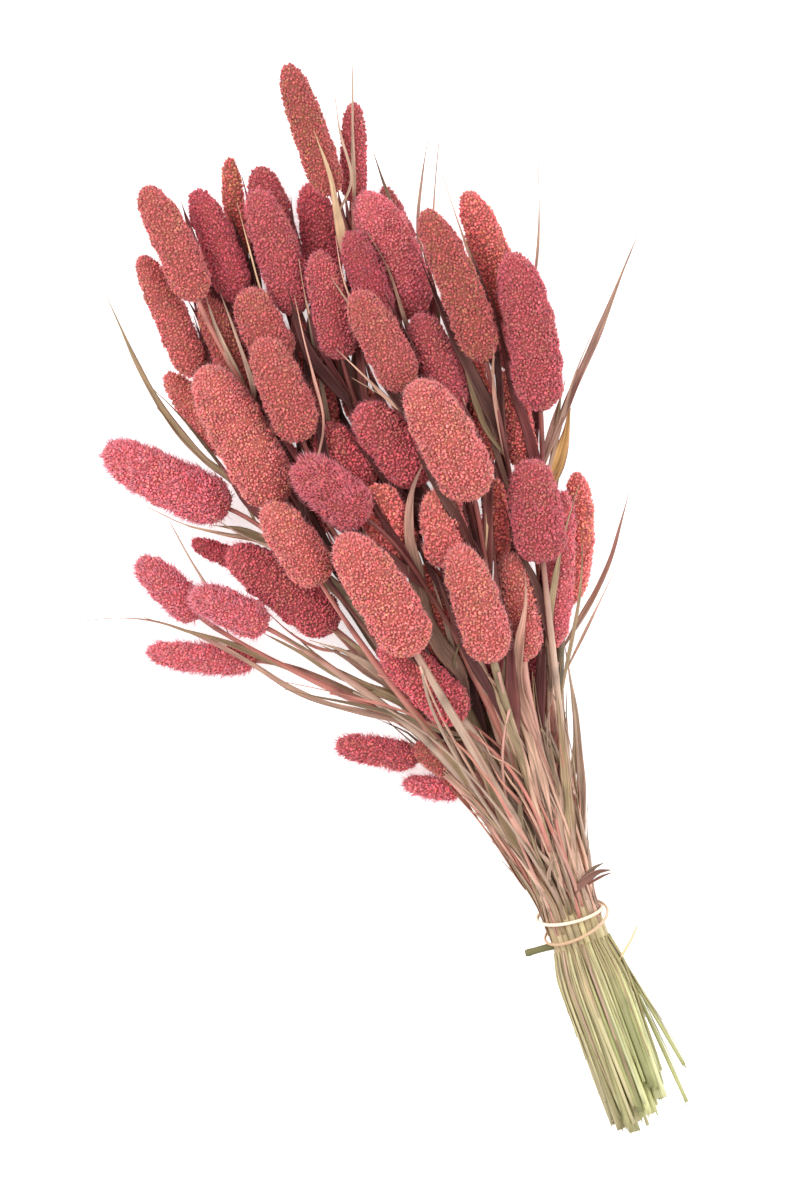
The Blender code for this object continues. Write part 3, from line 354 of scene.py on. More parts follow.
# Each blade: the stem it grows from, its width in pixels, how far its tip rises over its root in millimetres,
# how many of its points stay below the heads over them, its tone, then its points in the photo's pixels
BLADES = [
    # Free blades at the right
    (
        "head_18", 8, -6, 0, "dusk",
        (548, 468), (563, 412), (572, 387), (593, 347), (608, 308), (622, 268), (638, 232),
    ),
    ("head_18", 4, 8, 0, "taupe", (550, 490), (562, 405), (573, 368), (589, 338)),
    ("head_48", 14, 12, 0, "ochre", (545, 520), (562, 470), (572, 436), (569, 400)),
    (
        "head_31", 6, 8, 0, "dusk",
        (567, 650), (575, 627), (592, 602), (611, 571), (617, 545), (621, 517), (629, 488),
    ),
    ("head_31", 3, -8, 0, "pink_beige", (570, 680), (585, 632), (597, 605), (612, 575)),
    # Free blades at the left
    (
        "head_37", 8, 14, 0, "olive_brown",
        (252, 530), (228, 500), (199, 466), (173, 433), (144, 384), (124, 332), (105, 290),
    ),
    ("head_37", 4, -4, 0, "dark_olive", (268, 550), (240, 492), (208, 440), (185, 412), (150, 386)),
    (
        "head_46", 6, -34, 0, "dusk",
        (450, 748), (405, 722), (345, 708), (300, 704), (276, 678),
        (222, 642), (170, 618), (128, 610), (76, 622),
    ),
    ("head_39", 9, 6, 0, "olive_brown", (424, 714), (395, 690), (345, 688), (312, 655), (292, 632)),
    ("head_39", 10, 12, 0, "taupe", (430, 708), (398, 682), (366, 656), (340, 640), (312, 636)),
    ("head_39", 7, 14, 0, "olive_brown", (425, 702), (395, 672), (370, 650), (352, 636), (330, 628)),
    ("head_40", 3, 10, 3, "taupe", (222, 640), (216, 588), (190, 560), (174, 540), (170, 520)),
    (
        "head_37", 14, 14, 9, "dark_olive",
        (410, 690), (383, 650), (344, 606), (309, 580), (270, 556), (234, 530),
    ),
    ("head_37", 8, 16, 9, "taupe", (404, 690), (366, 636), (330, 592), (290, 562), (246, 545), (212, 514)),
    ("head_37", 4, 10, 9, "tan", (330, 600), (268, 552), (220, 534), (186, 522), (150, 508)),
    # Broad blades deep among the heads, most of them dark as painted shade in the gaps
    ("head_20", 16, 4, 9, "maroon", (478, 640), (445, 570), (418, 500), (392, 430), (368, 375), (345, 300)),
    ("head_13", 16, 2, 9, "shade", (360, 450), (354, 410), (346, 376), (338, 345), (330, 305)),
    ("head_07", 14, 4, 9, "shade", (400, 680), (346, 592), (300, 500), (264, 405), (255, 340), (256, 262)),
    ("head_10", 14, 4, 9, "maroon", (330, 560), (280, 480), (235, 410), (202, 335), (190, 280)),
    ("head_17", 14, 2, 9, "maroon", (522, 640), (512, 550), (501, 480), (491, 375), (470, 300)),
    ("head_14", 14, 2, 9, "maroon", (500, 650), (472, 530), (440, 420), (404, 325), (385, 250)),
    ("head_48", 12, 12, 0, "olive_brown", (552, 540), (556, 480), (553, 430), (560, 395)),
    ("head_02", 12, 6, 9, "maroon", (362, 330), (350, 270), (350, 215), (352, 192)),
    # Blades among the top heads
    (
        "head_01", 9, 12, 1, "tan",
        (352, 300), (345, 278), (340, 250), (336, 220), (333, 190), (322, 155), (313, 138),
    ),
    ("head_01", 3, 16, 0, "taupe", (336, 212), (339, 170), (337, 130), (335, 96)),
    ("head_02", 4, 16, 0, "taupe", (355, 215), (352, 160), (353, 110), (353, 60)),
    (
        "head_15", 7, 20, 1, "dark_olive",
        (436, 345), (440, 315), (425, 280), (408, 245), (395, 215), (383, 190), (372, 150),
    ),
    ("head_15", 4, 20, 0, "taupe", (424, 300), (411, 250), (412, 215), (418, 190), (428, 140)),
    ("head_15", 3, 26, 0, "taupe", (430, 320), (432, 262), (431, 215), (433, 195), (439, 140)),
    (
        "head_16", 4, -14, 1, "pink_beige",
        (486, 378), (496, 335), (484, 295), (466, 250), (450, 208), (440, 172),
    ),
    ("head_17", 3, 6, 2, "taupe", (512, 350), (528, 312), (538, 270), (540, 230), (537, 165)),
    ("head_10", 8, 10, 0, "taupe", (262, 428), (245, 395), (222, 345), (204, 298)),
    ("head_10", 5, 10, 0, "taupe", (252, 412), (243, 370), (232, 330), (221, 295)),
    ("head_54", 5, 24, 0, "taupe", (328, 448), (326, 410), (320, 370), (308, 320), (302, 288)),
    ("head_19", 7, 4, 0, "taupe", (408, 402), (392, 370), (378, 345), (345, 300), (332, 282)),
    ("head_19", 4, -6, 0, "pink_beige", (414, 440), (400, 420), (375, 390), (338, 350)),
    ("head_14", 4, 10, 0, "pink_beige", (416, 336), (408, 310), (390, 285), (364, 238)),
    # Blades among the middle heads
    ("head_16", 7, 8, 0, "olive_brown", (498, 462), (480, 446), (462, 390), (447, 318)),
    ("head_16", 7, 14, 0, "dusk", (505, 500), (492, 450), (478, 385), (460, 328)),
    ("head_16", 5, 12, 0, "rose_taupe", (501, 480), (495, 430), (484, 372), (480, 344)),
    ("head_17", 6, 20, 0, "olive_brown", (522, 460), (512, 445), (500, 380), (494, 348)),
    ("head_27", 6, 10, 1, "taupe", (410, 580), (398, 562), (375, 530), (358, 502)),
    ("head_50", 18, 34, 0, "dusk", (462, 712), (432, 655), (412, 600), (410, 545), (420, 505), (428, 452)),
    ("head_50", 6, 20, 0, "taupe", (458, 695), (448, 640), (440, 605), (430, 572)),
    (
        "head_35", 12, 30, 0, "rose_taupe",
        (540, 760), (512, 695), (508, 660), (518, 635), (530, 600), (536, 556),
    ),
    (
        "head_36", 7, 30, 0, "olive_brown",
        (550, 690), (546, 640), (550, 590), (556, 545), (568, 505), (577, 486),
    ),
    # Broad blades over the neck
    ("neck", 10, 6, 0, "rose_leaf", (520, 850), (492, 800), (458, 748), (430, 708)),
    ("neck", 14, 10, 0, "olive_brown", (537, 880), (502, 820), (482, 760), (462, 700)),
    ("neck", 12, 4, 0, "taupe", (548, 870), (524, 800), (508, 745), (492, 690)),
    ("neck", 15, 8, 0, "pink_beige", (556, 885), (545, 805), (530, 740), (506, 668)),
    ("neck", 18, 6, 0, "taupe", (563, 890), (550, 785), (541, 715), (536, 672)),
    ("neck", 13, 8, 0, "olive_brown", (574, 890), (568, 820), (562, 750), (556, 690)),
    ("neck", 8, -4, 0, "taupe", (581, 862), (585, 806), (581, 776), (578, 735), (573, 690), (563, 640)),
    ("neck", 8, 2, 0, "olive_brown", (516, 850), (474, 792), (444, 745), (408, 706)),
    ("neck", 8, 8, 0, "pink_beige", (535, 830), (512, 775), (490, 722), (478, 680)),
    ("neck", 7, 8, 0, "rose_taupe", (525, 850), (490, 785), (460, 735), (440, 690)),
    # A torn scrap at the tie, and blades that hang at the neck's sides and under it
    ("neck", 9, 6, 0, "rust", (572, 892), (585, 872), (598, 862), (611, 868)),
    ("under", 9, -4, 9, "olive_brown", (520, 870), (490, 820), (466, 780), (440, 752)),
    ("under", 12, -6, 9, "taupe", (566, 880), (556, 800), (546, 740), (530, 680)),
    ("under", 11, -8, 9, "pink_beige", (540, 870), (505, 800), (470, 730), (425, 660)),
    ("under", 10, -6, 9, "olive_brown", (570, 880), (566, 800), (560, 720), (548, 640)),
]

# Thin strands and scraps that only the scene holds, in the same terms
STRANDS = [
    ("head_46", 3, 8, 0, "rose_leaf", (420, 712), (400, 702), (360, 697), (330, 690), (300, 678), (285, 681)),
    ("head_44", 3, 3, 0, "rust", (404, 752), (398, 742), (388, 728), (383, 716)),
    (
        "head_46", 3, 6, 0, "dark_olive",
        (440, 742), (424, 744), (414, 740), (413, 734), (420, 731), (427, 734),
    ),
    ("head_39", 3, 6, 0, "rose_leaf", (352, 668), (330, 648), (312, 640), (292, 622), (268, 604)),
    ("head_41", 3, 4, 0, "dark_olive", (330, 660), (312, 650), (296, 640), (283, 640), (274, 630)),
    # Dark strands deep among the heads: painted shade that fills the gaps between them
    ("head_13", 16, 2, 9, "shade", (358, 420), (356, 390), (354, 365), (354, 340), (358, 320)),
    ("head_07", 14, 2, 9, "maroon", (302, 300), (296, 255), (294, 220), (292, 200)),
    ("head_04", 14, 2, 9, "maroon", (230, 300), (206, 255), (194, 225), (187, 204)),
    ("head_06", 12, 2, 9, "maroon", (276, 280), (258, 225), (248, 198), (245, 178)),
    ("head_22", 12, 2, 9, "shade", (330, 520), (306, 460), (298, 440), (292, 420)),
    ("head_33", 12, 2, 9, "shade", (380, 640), (342, 566), (330, 540), (322, 520)),
    ("head_02", 10, 2, 9, "maroon", (358, 300), (350, 245), (348, 215), (346, 190)),
    ("head_12", 3, 22, 0, "rose_taupe", (322, 470), (318, 420), (312, 372), (300, 330), (296, 300)),
    ("head_23", 3, 12, 0, "tan", (440, 560), (426, 500), (404, 452), (382, 414), (352, 380)),
    ("head_13", 3, 14, 0, "pink_beige", (352, 420), (340, 380), (322, 330), (312, 290), (306, 262)),
    ("head_07", 3, 16, 0, "tan", (300, 380), (286, 330), (268, 280), (252, 240), (244, 205)),
    ("head_26", 3, 10, 0, "tan", (500, 560), (492, 520), (484, 470), (470, 430), (462, 400)),
    ("head_30", 4, 8, 0, "olive_brown", (556, 700), (566, 650), (578, 600), (584, 560), (580, 530)),
    ("head_53", 3, 14, 0, "pink_beige", (400, 380), (386, 340), (368, 300), (352, 268), (340, 240)),
    # More dark strands deep among the heads: painted shade that fills the gaps between them
    ("head_34", 12, 2, 9, "maroon", (498, 650), (495, 600), (493, 560), (492, 525)),
    ("head_28", 12, 2, 9, "maroon", (462, 620), (448, 580), (442, 568), (436, 540)),
    ("head_23", 14, 2, 9, "shade", (384, 480), (366, 446), (354, 415), (346, 392)),
    ("head_13", 14, 2, 9, "shade", (322, 424), (303, 362), (293, 322), (288, 288)),
    ("head_19", 14, 2, 9, "shade", (402, 462), (386, 412), (373, 378), (362, 344)),
    ("head_21", 12, 2, 9, "shade", (360, 462), (351, 432), (345, 408), (338, 380)),
    ("head_02", 14, 2, 9, "maroon", (346, 300), (342, 245), (340, 215), (338, 190)),
    ("head_09", 14, 2, 9, "maroon", (236, 390), (210, 345), (197, 322), (188, 300)),
    ("head_15", 5, 6, 0, "dark_olive", (455, 355), (447, 318), (436, 285), (425, 255), (417, 232)),
    ("head_37", 5, 6, 0, "dark_olive", (262, 524), (226, 484), (190, 456), (172, 430), (158, 408)),
    ("head_37", 9, 6, 0, "olive_brown", (296, 564), (262, 546), (238, 530), (214, 518)),
    ("head_37", 4, 3, 0, "taupe", (270, 554), (225, 541), (190, 527)),
    (
        "head_40", 6, 4, 0, "olive_brown",
        (300, 668), (262, 656), (234, 641), (205, 626), (175, 619), (145, 617),
    ),
    (
        "head_39", 8, 6, 0, "olive_brown",
        (398, 696), (360, 690), (338, 682), (316, 659), (287, 642), (262, 632),
    ),
    ("head_39", 7, 8, 0, "dusk", (402, 694), (388, 686), (358, 664), (342, 646), (322, 637)),
    (
        "head_46", 6, 4, 0, "dark_olive",
        (424, 718), (390, 708), (350, 701), (318, 698), (297, 700), (284, 688),
    ),
    ("head_22", 6, 6, 0, "dark_olive", (396, 694), (378, 660), (358, 626), (340, 598)),
    ("head_48", 9, 6, 0, "ochre", (557, 500), (565, 470), (570, 440), (569, 410)),
    ("head_48", 8, 6, 0, "dusk", (546, 505), (549, 455), (553, 418), (564, 382)),
    ("head_31", 6, 4, 0, "olive_brown", (586, 800), (583, 760), (577, 715), (570, 680), (566, 652)),
    ("head_36", 6, 8, 0, "dusk", (556, 700), (551, 655), (549, 625), (548, 590)),
    ("neck", 6, 4, 0, "dark_olive", (578, 884), (590, 864), (603, 861)),
    ("neck", 3, 3, 0, "rust", (586, 884), (599, 874), (611, 871)),
    ("neck", 7, 4, 0, "rose_leaf", (524, 862), (506, 832), (492, 810), (480, 792)),
]

# A broken twig at the tie: the photo's pixels, and the height over the bundle's middle in millimetres
TWIG = ((600, 974, 3), (612, 968, 5), (623, 950, 7), (630, 938, 8), (636, 924, 10))

# A head's tone: its seeds, the seeds that lost their dye, and its bristles, as the photo shows them
HEAD_TONES = {
    "salmon": ((248, 118, 114), (228, 142, 102), (255, 172, 166)),
    "coral": ((222, 102, 98), (200, 128, 88), (248, 146, 142)),
    "brick": ((202, 92, 84), (184, 128, 80), (230, 122, 118)),
    "rose": ((214, 88, 94), (194, 114, 90), (246, 132, 144)),
    "crimson": ((214, 80, 90), (190, 100, 82), (244, 118, 136)),
    "magenta": ((255, 112, 122), (240, 136, 116), (255, 162, 176)),
}
# Painted light: how much lighter some heads' seed colour is made than the others of their tone, to lift the
# shade that they lie in, or darker where it is under 1
HEAD_PAINTED_LIGHT = {
    "head_05": 1.5, "head_08": 1.12, "head_14": 0.95, "head_17": 1.5, "head_19": 0.9, "head_21": 1.5,
    "head_23": 1.3, "head_25": 1.6, "head_27": 1.6, "head_28": 1.2, "head_29": 1.9, "head_31": 1.4,
    "head_33": 1.08, "head_37": 1.3, "head_39": 1.25, "head_40": 1.06, "head_42": 1.15, "head_43": 1.3,
    "head_45": 1.35, "head_46": 1.4, "head_48": 1.5, "head_49": 1.6, "head_50": 1.7, "head_53": 0.78,
    "head_54": 1.5,
}
SEED_LIGHTS = (0.78, 1.18)
FADED_SEEDS = 0.32
FADED_PATCHES = 0.16
SEED_PALENESS = 0.42
SEED_DEPTH = 0.45
FLECKS = 0.06
FLECK_LIGHT = 1.4
SPECKS = 0.07
SPECK_LIGHT = 0.55
# The gap colour: the dark red of the painted shade at the seeds' feet, and the deepest tone a seed may have
GAP_COLOUR = (158, 46, 54)

# Leaf and stem tones
LEAF_TONES = {
    "taupe": (188, 158, 138),
    "dusk": (166, 126, 112),
    "rose_taupe": (206, 154, 138),
    "olive_brown": (158, 136, 104),
    "dark_olive": (110, 96, 74),
    "pink_beige": (232, 186, 162),
    "tan": (222, 186, 148),
    "ochre": (196, 152, 92),
    "rust": (124, 86, 74),
    # Dark tones of the leaves deep among the heads: painted shade in the gaps
    "maroon": (116, 52, 54),
    "shade": (88, 42, 42),
    "rose_leaf": (208, 134, 120),
    "straw": (206, 204, 152),
    "olive_straw": (160, 160, 106),
}
NECK_TONES = (
    "taupe", "olive_brown", "rose_taupe", "pink_beige", "olive_brown", "taupe", "dark_olive", "rose_leaf",
)
LOWER_TONES = ("straw", "olive_straw", "tan", "straw", "olive_brown", "olive_straw", "taupe")
STRAW_LEAF_TONES = ("rose_taupe", "pink_beige", "rose_leaf", "taupe", "olive_brown")
# The dark tones of the flag leaves and of the leaves deep among the heads: painted shade in the gaps
FLAG_TONES = ("shade", "maroon", "shade")
DEEP_SHADE_TONES = ("maroon", "shade")
LEAF_EDGE = (200, 146, 126)
EDGE_SHARE = 0.45
LEAF_FADE = 0.35
SHADE_LEAF_RIM_AND_FADE = 0.25
LEAF_LIGHTS = (0.8, 1.15)
STRAW_TONES = (
    (204, 203, 144), (168, 169, 111), (206, 196, 150), (150, 150, 100), (212, 210, 160), (184, 184, 127),
)
BROWN_STRAW = (158, 140, 106)
LEFT_BROWN = 0.75
STRAW_LIGHTS = (0.85, 1.1)
NECK_LIGHTS = (0.8, 1.1)
STRAW_STOPS = (-60.0, 5.0, 60.0)
TIE_STRAW = (206, 174, 138)
STALK_TONE = (188, 118, 106)
SHADED_STALK_TONE = (128, 66, 60)
CUT_TONE = (222, 208, 168)
STUB_TONE = (112, 108, 66)
TWIG_TONE = (230, 204, 158)
BAND_TONES = ((246, 228, 206), (200, 162, 126))

# The values of a noise that count as its darkest and lightest
NOISE_SPAN = (0.3, 0.7)
# The materials: what is the same all over each, then the scales of its patterns, where a higher one is finer
# and a pair is across and along the fibres, how dark and light they make it, and the depth of its relief
SEED_FINISH = {
    "Roughness": 0.72, "Sheen Weight": 0.5, "Sheen Roughness": 0.5, "Sheen Tint": (1.0, 0.5, 0.62, 1.0),
    "Specular IOR Level": 0.3,
}
SEED_GRAIN = 850.0
SEED_GRAIN_LIGHTS = (1.08, 0.84)
SEED_MOTTLE = 700.0
SEED_MOTTLE_LIGHTS = (0.88, 1.12)
SEED_RELIEF = 0.0002
LEAF_FINISH = {"Roughness": 0.62, "Specular IOR Level": 0.35}
LEAF_STREAKS = (1.4, 0.045)
LEAF_STREAK_LIGHTS = (0.6, 1.25)
LEAF_BLOTCHES = (0.12, 0.06)
LEAF_BLOTCH_LIGHTS = (0.82, 1.12)
LEAF_RELIEF = 0.0004
STRAW_FINISH = {"Roughness": 0.5}
STRAW_STREAKS = (0.9, 0.03)
STRAW_STREAK_LIGHTS = (0.8, 1.15)
STRAW_BLOTCHES = (0.05, 0.05)
STRAW_BLOTCH_LIGHTS = (0.85, 1.1)
STRAW_RELIEF = 0.0003
RUBBER_FINISH = {"Roughness": 0.45, "Subsurface Weight": 0.1, "Subsurface Radius": (0.002, 0.0015, 0.001)}
RUBBER_MOTTLE = 400.0
RUBBER_LIGHTS = (0.94, 1.03)
RUBBER_GRAIN = 1500.0
RUBBER_RELIEF = 0.0001
FLOOR_FINISH = {
    "Base Color": (0.9, 0.9, 0.9, 1), "Roughness": 0.9, "Emission Color": (1, 1, 1, 1),
    "Emission Strength": FLOOR_GLOW,
}


def plan(pixel):
    """A pixel of the photo as (across, along) in millimetres from the tie."""
    right = (pixel[0] - TIE_PIXEL[0]) * MM_PER_PIXEL
    up = (TIE_PIXEL[1] - pixel[1]) * MM_PER_PIXEL
    return np.array(
        [right * math.cos(LEAN) + up * math.sin(LEAN), up * math.cos(LEAN) - right * math.sin(LEAN)]
    )


def head_profile(share):
    """A head's radius as a share of its greatest one, from its base (0) to its tip (1)."""
    power = np.where(share < 0.5, BASE_TAPER, TIP_TAPER)
    return (1 - np.abs(2 * share - 1) ** power) ** 0.5 * (BASE_FULLNESS - NARROWING * share)


def level_height(level):
    low, high = LEVEL_HEIGHTS
    return low + (high - low) * level / TOP_LEVEL


def bundle_slots():
    """Places of the stems in the tie, ring by ring from the outside, as (across, up) from its middle."""
    slots = []
    for ring in range(RING_COUNT, 0, -1):
        count = int(2 * math.pi * ring)
        for turn in range(count):
            angle = 2 * math.pi * turn / count + RING_TURN * ring
            slots.append((ring * SLOT_PITCH * math.cos(angle), ring * SLOT_PITCH * math.sin(angle)))
    return slots + [(0.0, 0.0)]


def outer_slots():
    return bundle_slots()[: int(2 * math.pi * RING_COUNT)]


def outer_stalks(stalks):
    return [stalk for stalk in stalks if math.hypot(*stalk.slot) > (RING_COUNT - 1.5) * SLOT_PITCH]


def pick(random, choices):
    return choices[int(random.integers(len(choices)))]


def neighbour(stalk, stalks, reach, random):
    """Another stalk whose place in the tie is within the reach, nearest and furthest, of this one's."""
    near, far = reach
    return pick(random, [other for other in stalks if near < math.dist(other.slot, stalk.slot) < far])


class Stalk:
    """One head on its stem, as a chain of beads from the tie to the head's tip."""

    def __init__(self, name, tip, base, width, level, bend, tone):
        self.name = name
        self.tone = tone
        self.radius = width * MM_PER_PIXEL / 2
        tip, base = plan(tip), plan(base)
        self.length = np.linalg.norm(tip - base)
        side = np.array([base[1] - tip[1], tip[0] - base[0]]) / self.length
        share = np.linspace(0.0, 1.0, HEAD_BEADS)
        bow = np.sin(math.pi * share) * bend * MM_PER_PIXEL
        axis = base + np.outer(share, tip - base) - np.outer(bow, side)
        height = max(level_height(level), self.radius + 1)
        slope = max(0.0, height - TIE_HEIGHT) / base[1]
        rise = HEAD_TILT * slope * self.length * (share - 0.5)
        self.head = np.column_stack([axis, height + rise])
        self.heading = (base[0] / base[1], (height - TIE_HEIGHT - FAN_HEIGHT) / base[1])

    def stem_from(self, slot):
        """The stem before it settles: along the tie, then in a curve that comes to the head from below."""
        start = np.array([slot[0], TIE_ZONE, slot[1] + TIE_HEIGHT])
        end = self.head[0]
        reach = np.linalg.norm(end - start)
        count = max(FEWEST_BEADS, int(reach / BEAD_PITCH))
        t = np.linspace(0, 1, count, endpoint=False)[:, None]
        leave = np.array([0.0, LEAVE_PULL * reach, 0.0])
        arrive = self.head[1] - self.head[0]
        arrive = arrive / np.linalg.norm(arrive[:2]) * ARRIVE_PULL * reach
        arrive[2] = CLIMB * (end[2] - start[2])
        return (
            (2 * t**3 - 3 * t**2 + 1) * start
            + (t**3 - 2 * t**2 + t) * leave
            + (3 * t**2 - 2 * t**3) * end
            + (t**3 - t**2) * arrive
        )


def give_slots(stalks):
    """Each stem's place in the tie, the outer places first, each to the free stem that leans most its way.

    It returns the places that are left over.
    """
    free = list(stalks)
    spread = max(abs(stalk.heading[0]) for stalk in stalks)
    lift = max(abs(stalk.heading[1]) for stalk in stalks)
    slots = bundle_slots()
    for slot in slots[: len(stalks)]:
        best = max(free, key=lambda s: s.heading[0] / spread * slot[0] + s.heading[1] / lift * slot[1])
        best.slot = slot
        free.remove(best)
    return slots[len(stalks) :]


def neck_limits(stalk, stem):
    """How far left and right a stem's beads may stray, so that the neck stays slim until it fans out."""
    share = np.linspace(0, 1, len(stem))
    bundle = SLOT_PITCH * RING_COUNT
    left, right = (bundle + spread * stem[:, 1] for spread in NECK_SPREAD)
    left += max(0.0, -stalk.head[0, 0] - left[-1]) * share**6
    right += max(0.0, stalk.head[0, 0] - right[-1]) * share**6
    free = stem[:, 1] > NECK_END
    return np.where(free, -BEYOND, -left), np.where(free, BEYOND, right)


class Beads:
    """The beads of all the stalks in one row, with their radii and how far they have moved."""

    def __init__(self, stalks):
        share = np.linspace(0.0, 1.0, HEAD_BEADS)
        places, radii, owner, limits = [], [], [], []
        for index, stalk in enumerate(stalks):
            stem = stalk.stem_from(stalk.slot)
            stalk.first = sum(map(len, places))
            stalk.middle = stalk.first + len(stem)
            limits += [neck_limits(stalk, stem), np.outer((-BEYOND, BEYOND), np.ones(HEAD_BEADS))]
            places += [stem, stalk.head]
            thick = np.where(stem[:, 1] < NECK_LENGTH, NECK_STEM_RADIUS, STALK_RADIUS)
            radii += [thick, stalk.radius * head_profile(np.clip(share, 0.03, 0.93)) + RELIEF]
            owner += [index] * (len(stem) + HEAD_BEADS)
        self.home = np.concatenate(places)
        self.shift = np.zeros_like(self.home)
        self.radii = np.concatenate(radii)
        self.owner = np.array(owner)
        self.leftmost, self.rightmost = np.concatenate(limits, axis=1) - self.home[:, 0]
        self.everyone = np.arange(len(self.home))
        self.starts = np.array([stalk.first for stalk in stalks])
        tips = np.append(self.starts[1:], len(self.home)) - 1
        self.inner = np.setdiff1d(self.everyone, np.concatenate([self.starts, tips]))
        self.heads = np.concatenate([np.arange(s.middle, s.middle + HEAD_BEADS) for s in stalks])
        self.is_head = np.isin(self.everyone, self.heads)
        self.give = np.where(self.is_head, HEAD_GIVE, 1.0)
        self.give[self.starts] = 0.0

    def points(self):
        return self.home + self.shift

    def near_pairs(self):
        """Each head's bead with each bead of another stalk that it may meet soon."""
        points = self.points()
        reach = self.radii[self.heads][:, None] + self.radii + CLEARANCE + PAIR_REACH
        near = ((points[self.heads][:, None] - points) ** 2).sum(axis=2) < reach**2
        near &= self.owner[self.heads][:, None] != self.owner
        near &= ~self.is_head | (self.heads[:, None] < self.everyone)
        one, other = np.nonzero(near)
        return self.heads[one], other

    def push_apart(self, one, other):
        points = self.points()
        gap = points[one] - points[other]
        length = np.linalg.norm(gap, axis=1)
        short = self.radii[one] + self.radii[other] + CLEARANCE - length
        hit = short > 0
        first, second = one[hit], other[hit]
        push = gap[hit] * (short[hit] / length[hit] / (self.give[first] + self.give[second]))[:, None]
        moved = np.zeros_like(points)
        count = np.ones(len(points))
        for beads, way in ((first, 1), (second, -1)):
            np.add.at(moved, beads, way * push * self.give[beads][:, None])
            np.add.at(count, beads, 1)
        self.shift += moved / np.sqrt(count)[:, None]

    def hold_back(self, hold):
        """Evens out the chains, and keeps the heads near their places and every bead within its limits."""
        shift, inner = self.shift, self.inner
        shift[inner] += STIFFNESS * ((shift[inner - 1] + shift[inner + 1]) / 2 - shift[inner])
        shift[self.heads, :2] *= 1 - hold
        shift[:, 2] *= 1 - HEIGHT_HOLD * hold
        shift[:, 0] = np.clip(shift[:, 0], self.leftmost, self.rightmost)
        shift[self.starts] = 0
        shift[:, 2] = np.maximum(shift[:, 2], self.radii + FLOOR_GAP - self.home[:, 2])


def settle(stalks):
    """Moves the heads up and down and the stems aside, so that nothing touches a head but its own stem."""
    beads = Beads(stalks)
    for turn in range(SETTLE_ROUNDS):
        if turn % PAIR_ROUNDS == 0:
            one, other = beads.near_pairs()
        beads.push_apart(one, other)
        beads.hold_back(HEAD_HOLD * (1 - turn / SETTLE_ROUNDS))
    points = beads.points()
    for stalk in stalks:
        stalk.stem = points[stalk.first : stalk.middle]
        stalk.head = points[stalk.middle : stalk.middle + HEAD_BEADS]


def along_curve(points, places):
    """Points on the smooth curve through the given points, at places counted in points from the first."""
    padded = np.vstack([2 * points[0] - points[1], points, 2 * points[-1] - points[-2]])
    index = np.clip(places.astype(int), 0, len(points) - 2)
    t = (places - index)[:, None]
    before, start, end, after = (padded[index + k] for k in range(4))
    return 0.5 * (
        2 * start
        + (end - before) * t
        + (2 * before - 5 * start + 4 * end - after) * t**2
        + (3 * start - before - 3 * end + after) * t**3
    )


def evenly(points, pitch, least=4):
    """Points on the smooth curve through the given ones, about a pitch apart."""
    fine = along_curve(points, np.linspace(0, len(points) - 1, 12 * len(points)))
    run = np.concatenate([[0], np.cumsum(np.linalg.norm(np.diff(fine, axis=0), axis=1))])
    wanted = np.linspace(0, run[-1], max(least, round(run[-1] / pitch) + 1))
    return np.column_stack([np.interp(wanted, run, fine[:, axis]) for axis in range(fine.shape[1])])


def unit(vectors):
    return vectors / np.linalg.norm(vectors, axis=-1, keepdims=True)


def directions(points):
    return unit(np.gradient(points, axis=0))


def head_balls(stalks):
    """Every head as closely set balls: their middles and radii."""
    share = np.linspace(0.0, 1.0, HEAD_BALLS)
    middles = [along_curve(stalk.head, share * (HEAD_BEADS - 1)) for stalk in stalks]
    radii = [stalk.radius * head_profile(np.clip(share, 0.01, 0.96)) + RELIEF for stalk in stalks]
    return np.concatenate(middles), np.concatenate(radii)


def stem_balls(stalks):
    """The upper stems as closely set balls, for what lies on the neck."""
    middles = np.concatenate([evenly(stalk.stem, 3.0) for stalk in stalks])
    return middles, np.where(middles[:, 1] < NECK_LENGTH, NECK_STEM_RADIUS, STALK_RADIUS)


def top_over(points, middles, radii, side=1):
    """The height of the balls' tops over each point, or of their undersides where side is -1."""
    flat = ((points[:, None, :2] - middles[:, :2]) ** 2).sum(axis=2)
    lift = np.sqrt(np.maximum(radii**2 - flat, 0)) + side * middles[:, 2]
    return side * np.where(flat < radii**2, lift, -BEYOND).max(axis=1)


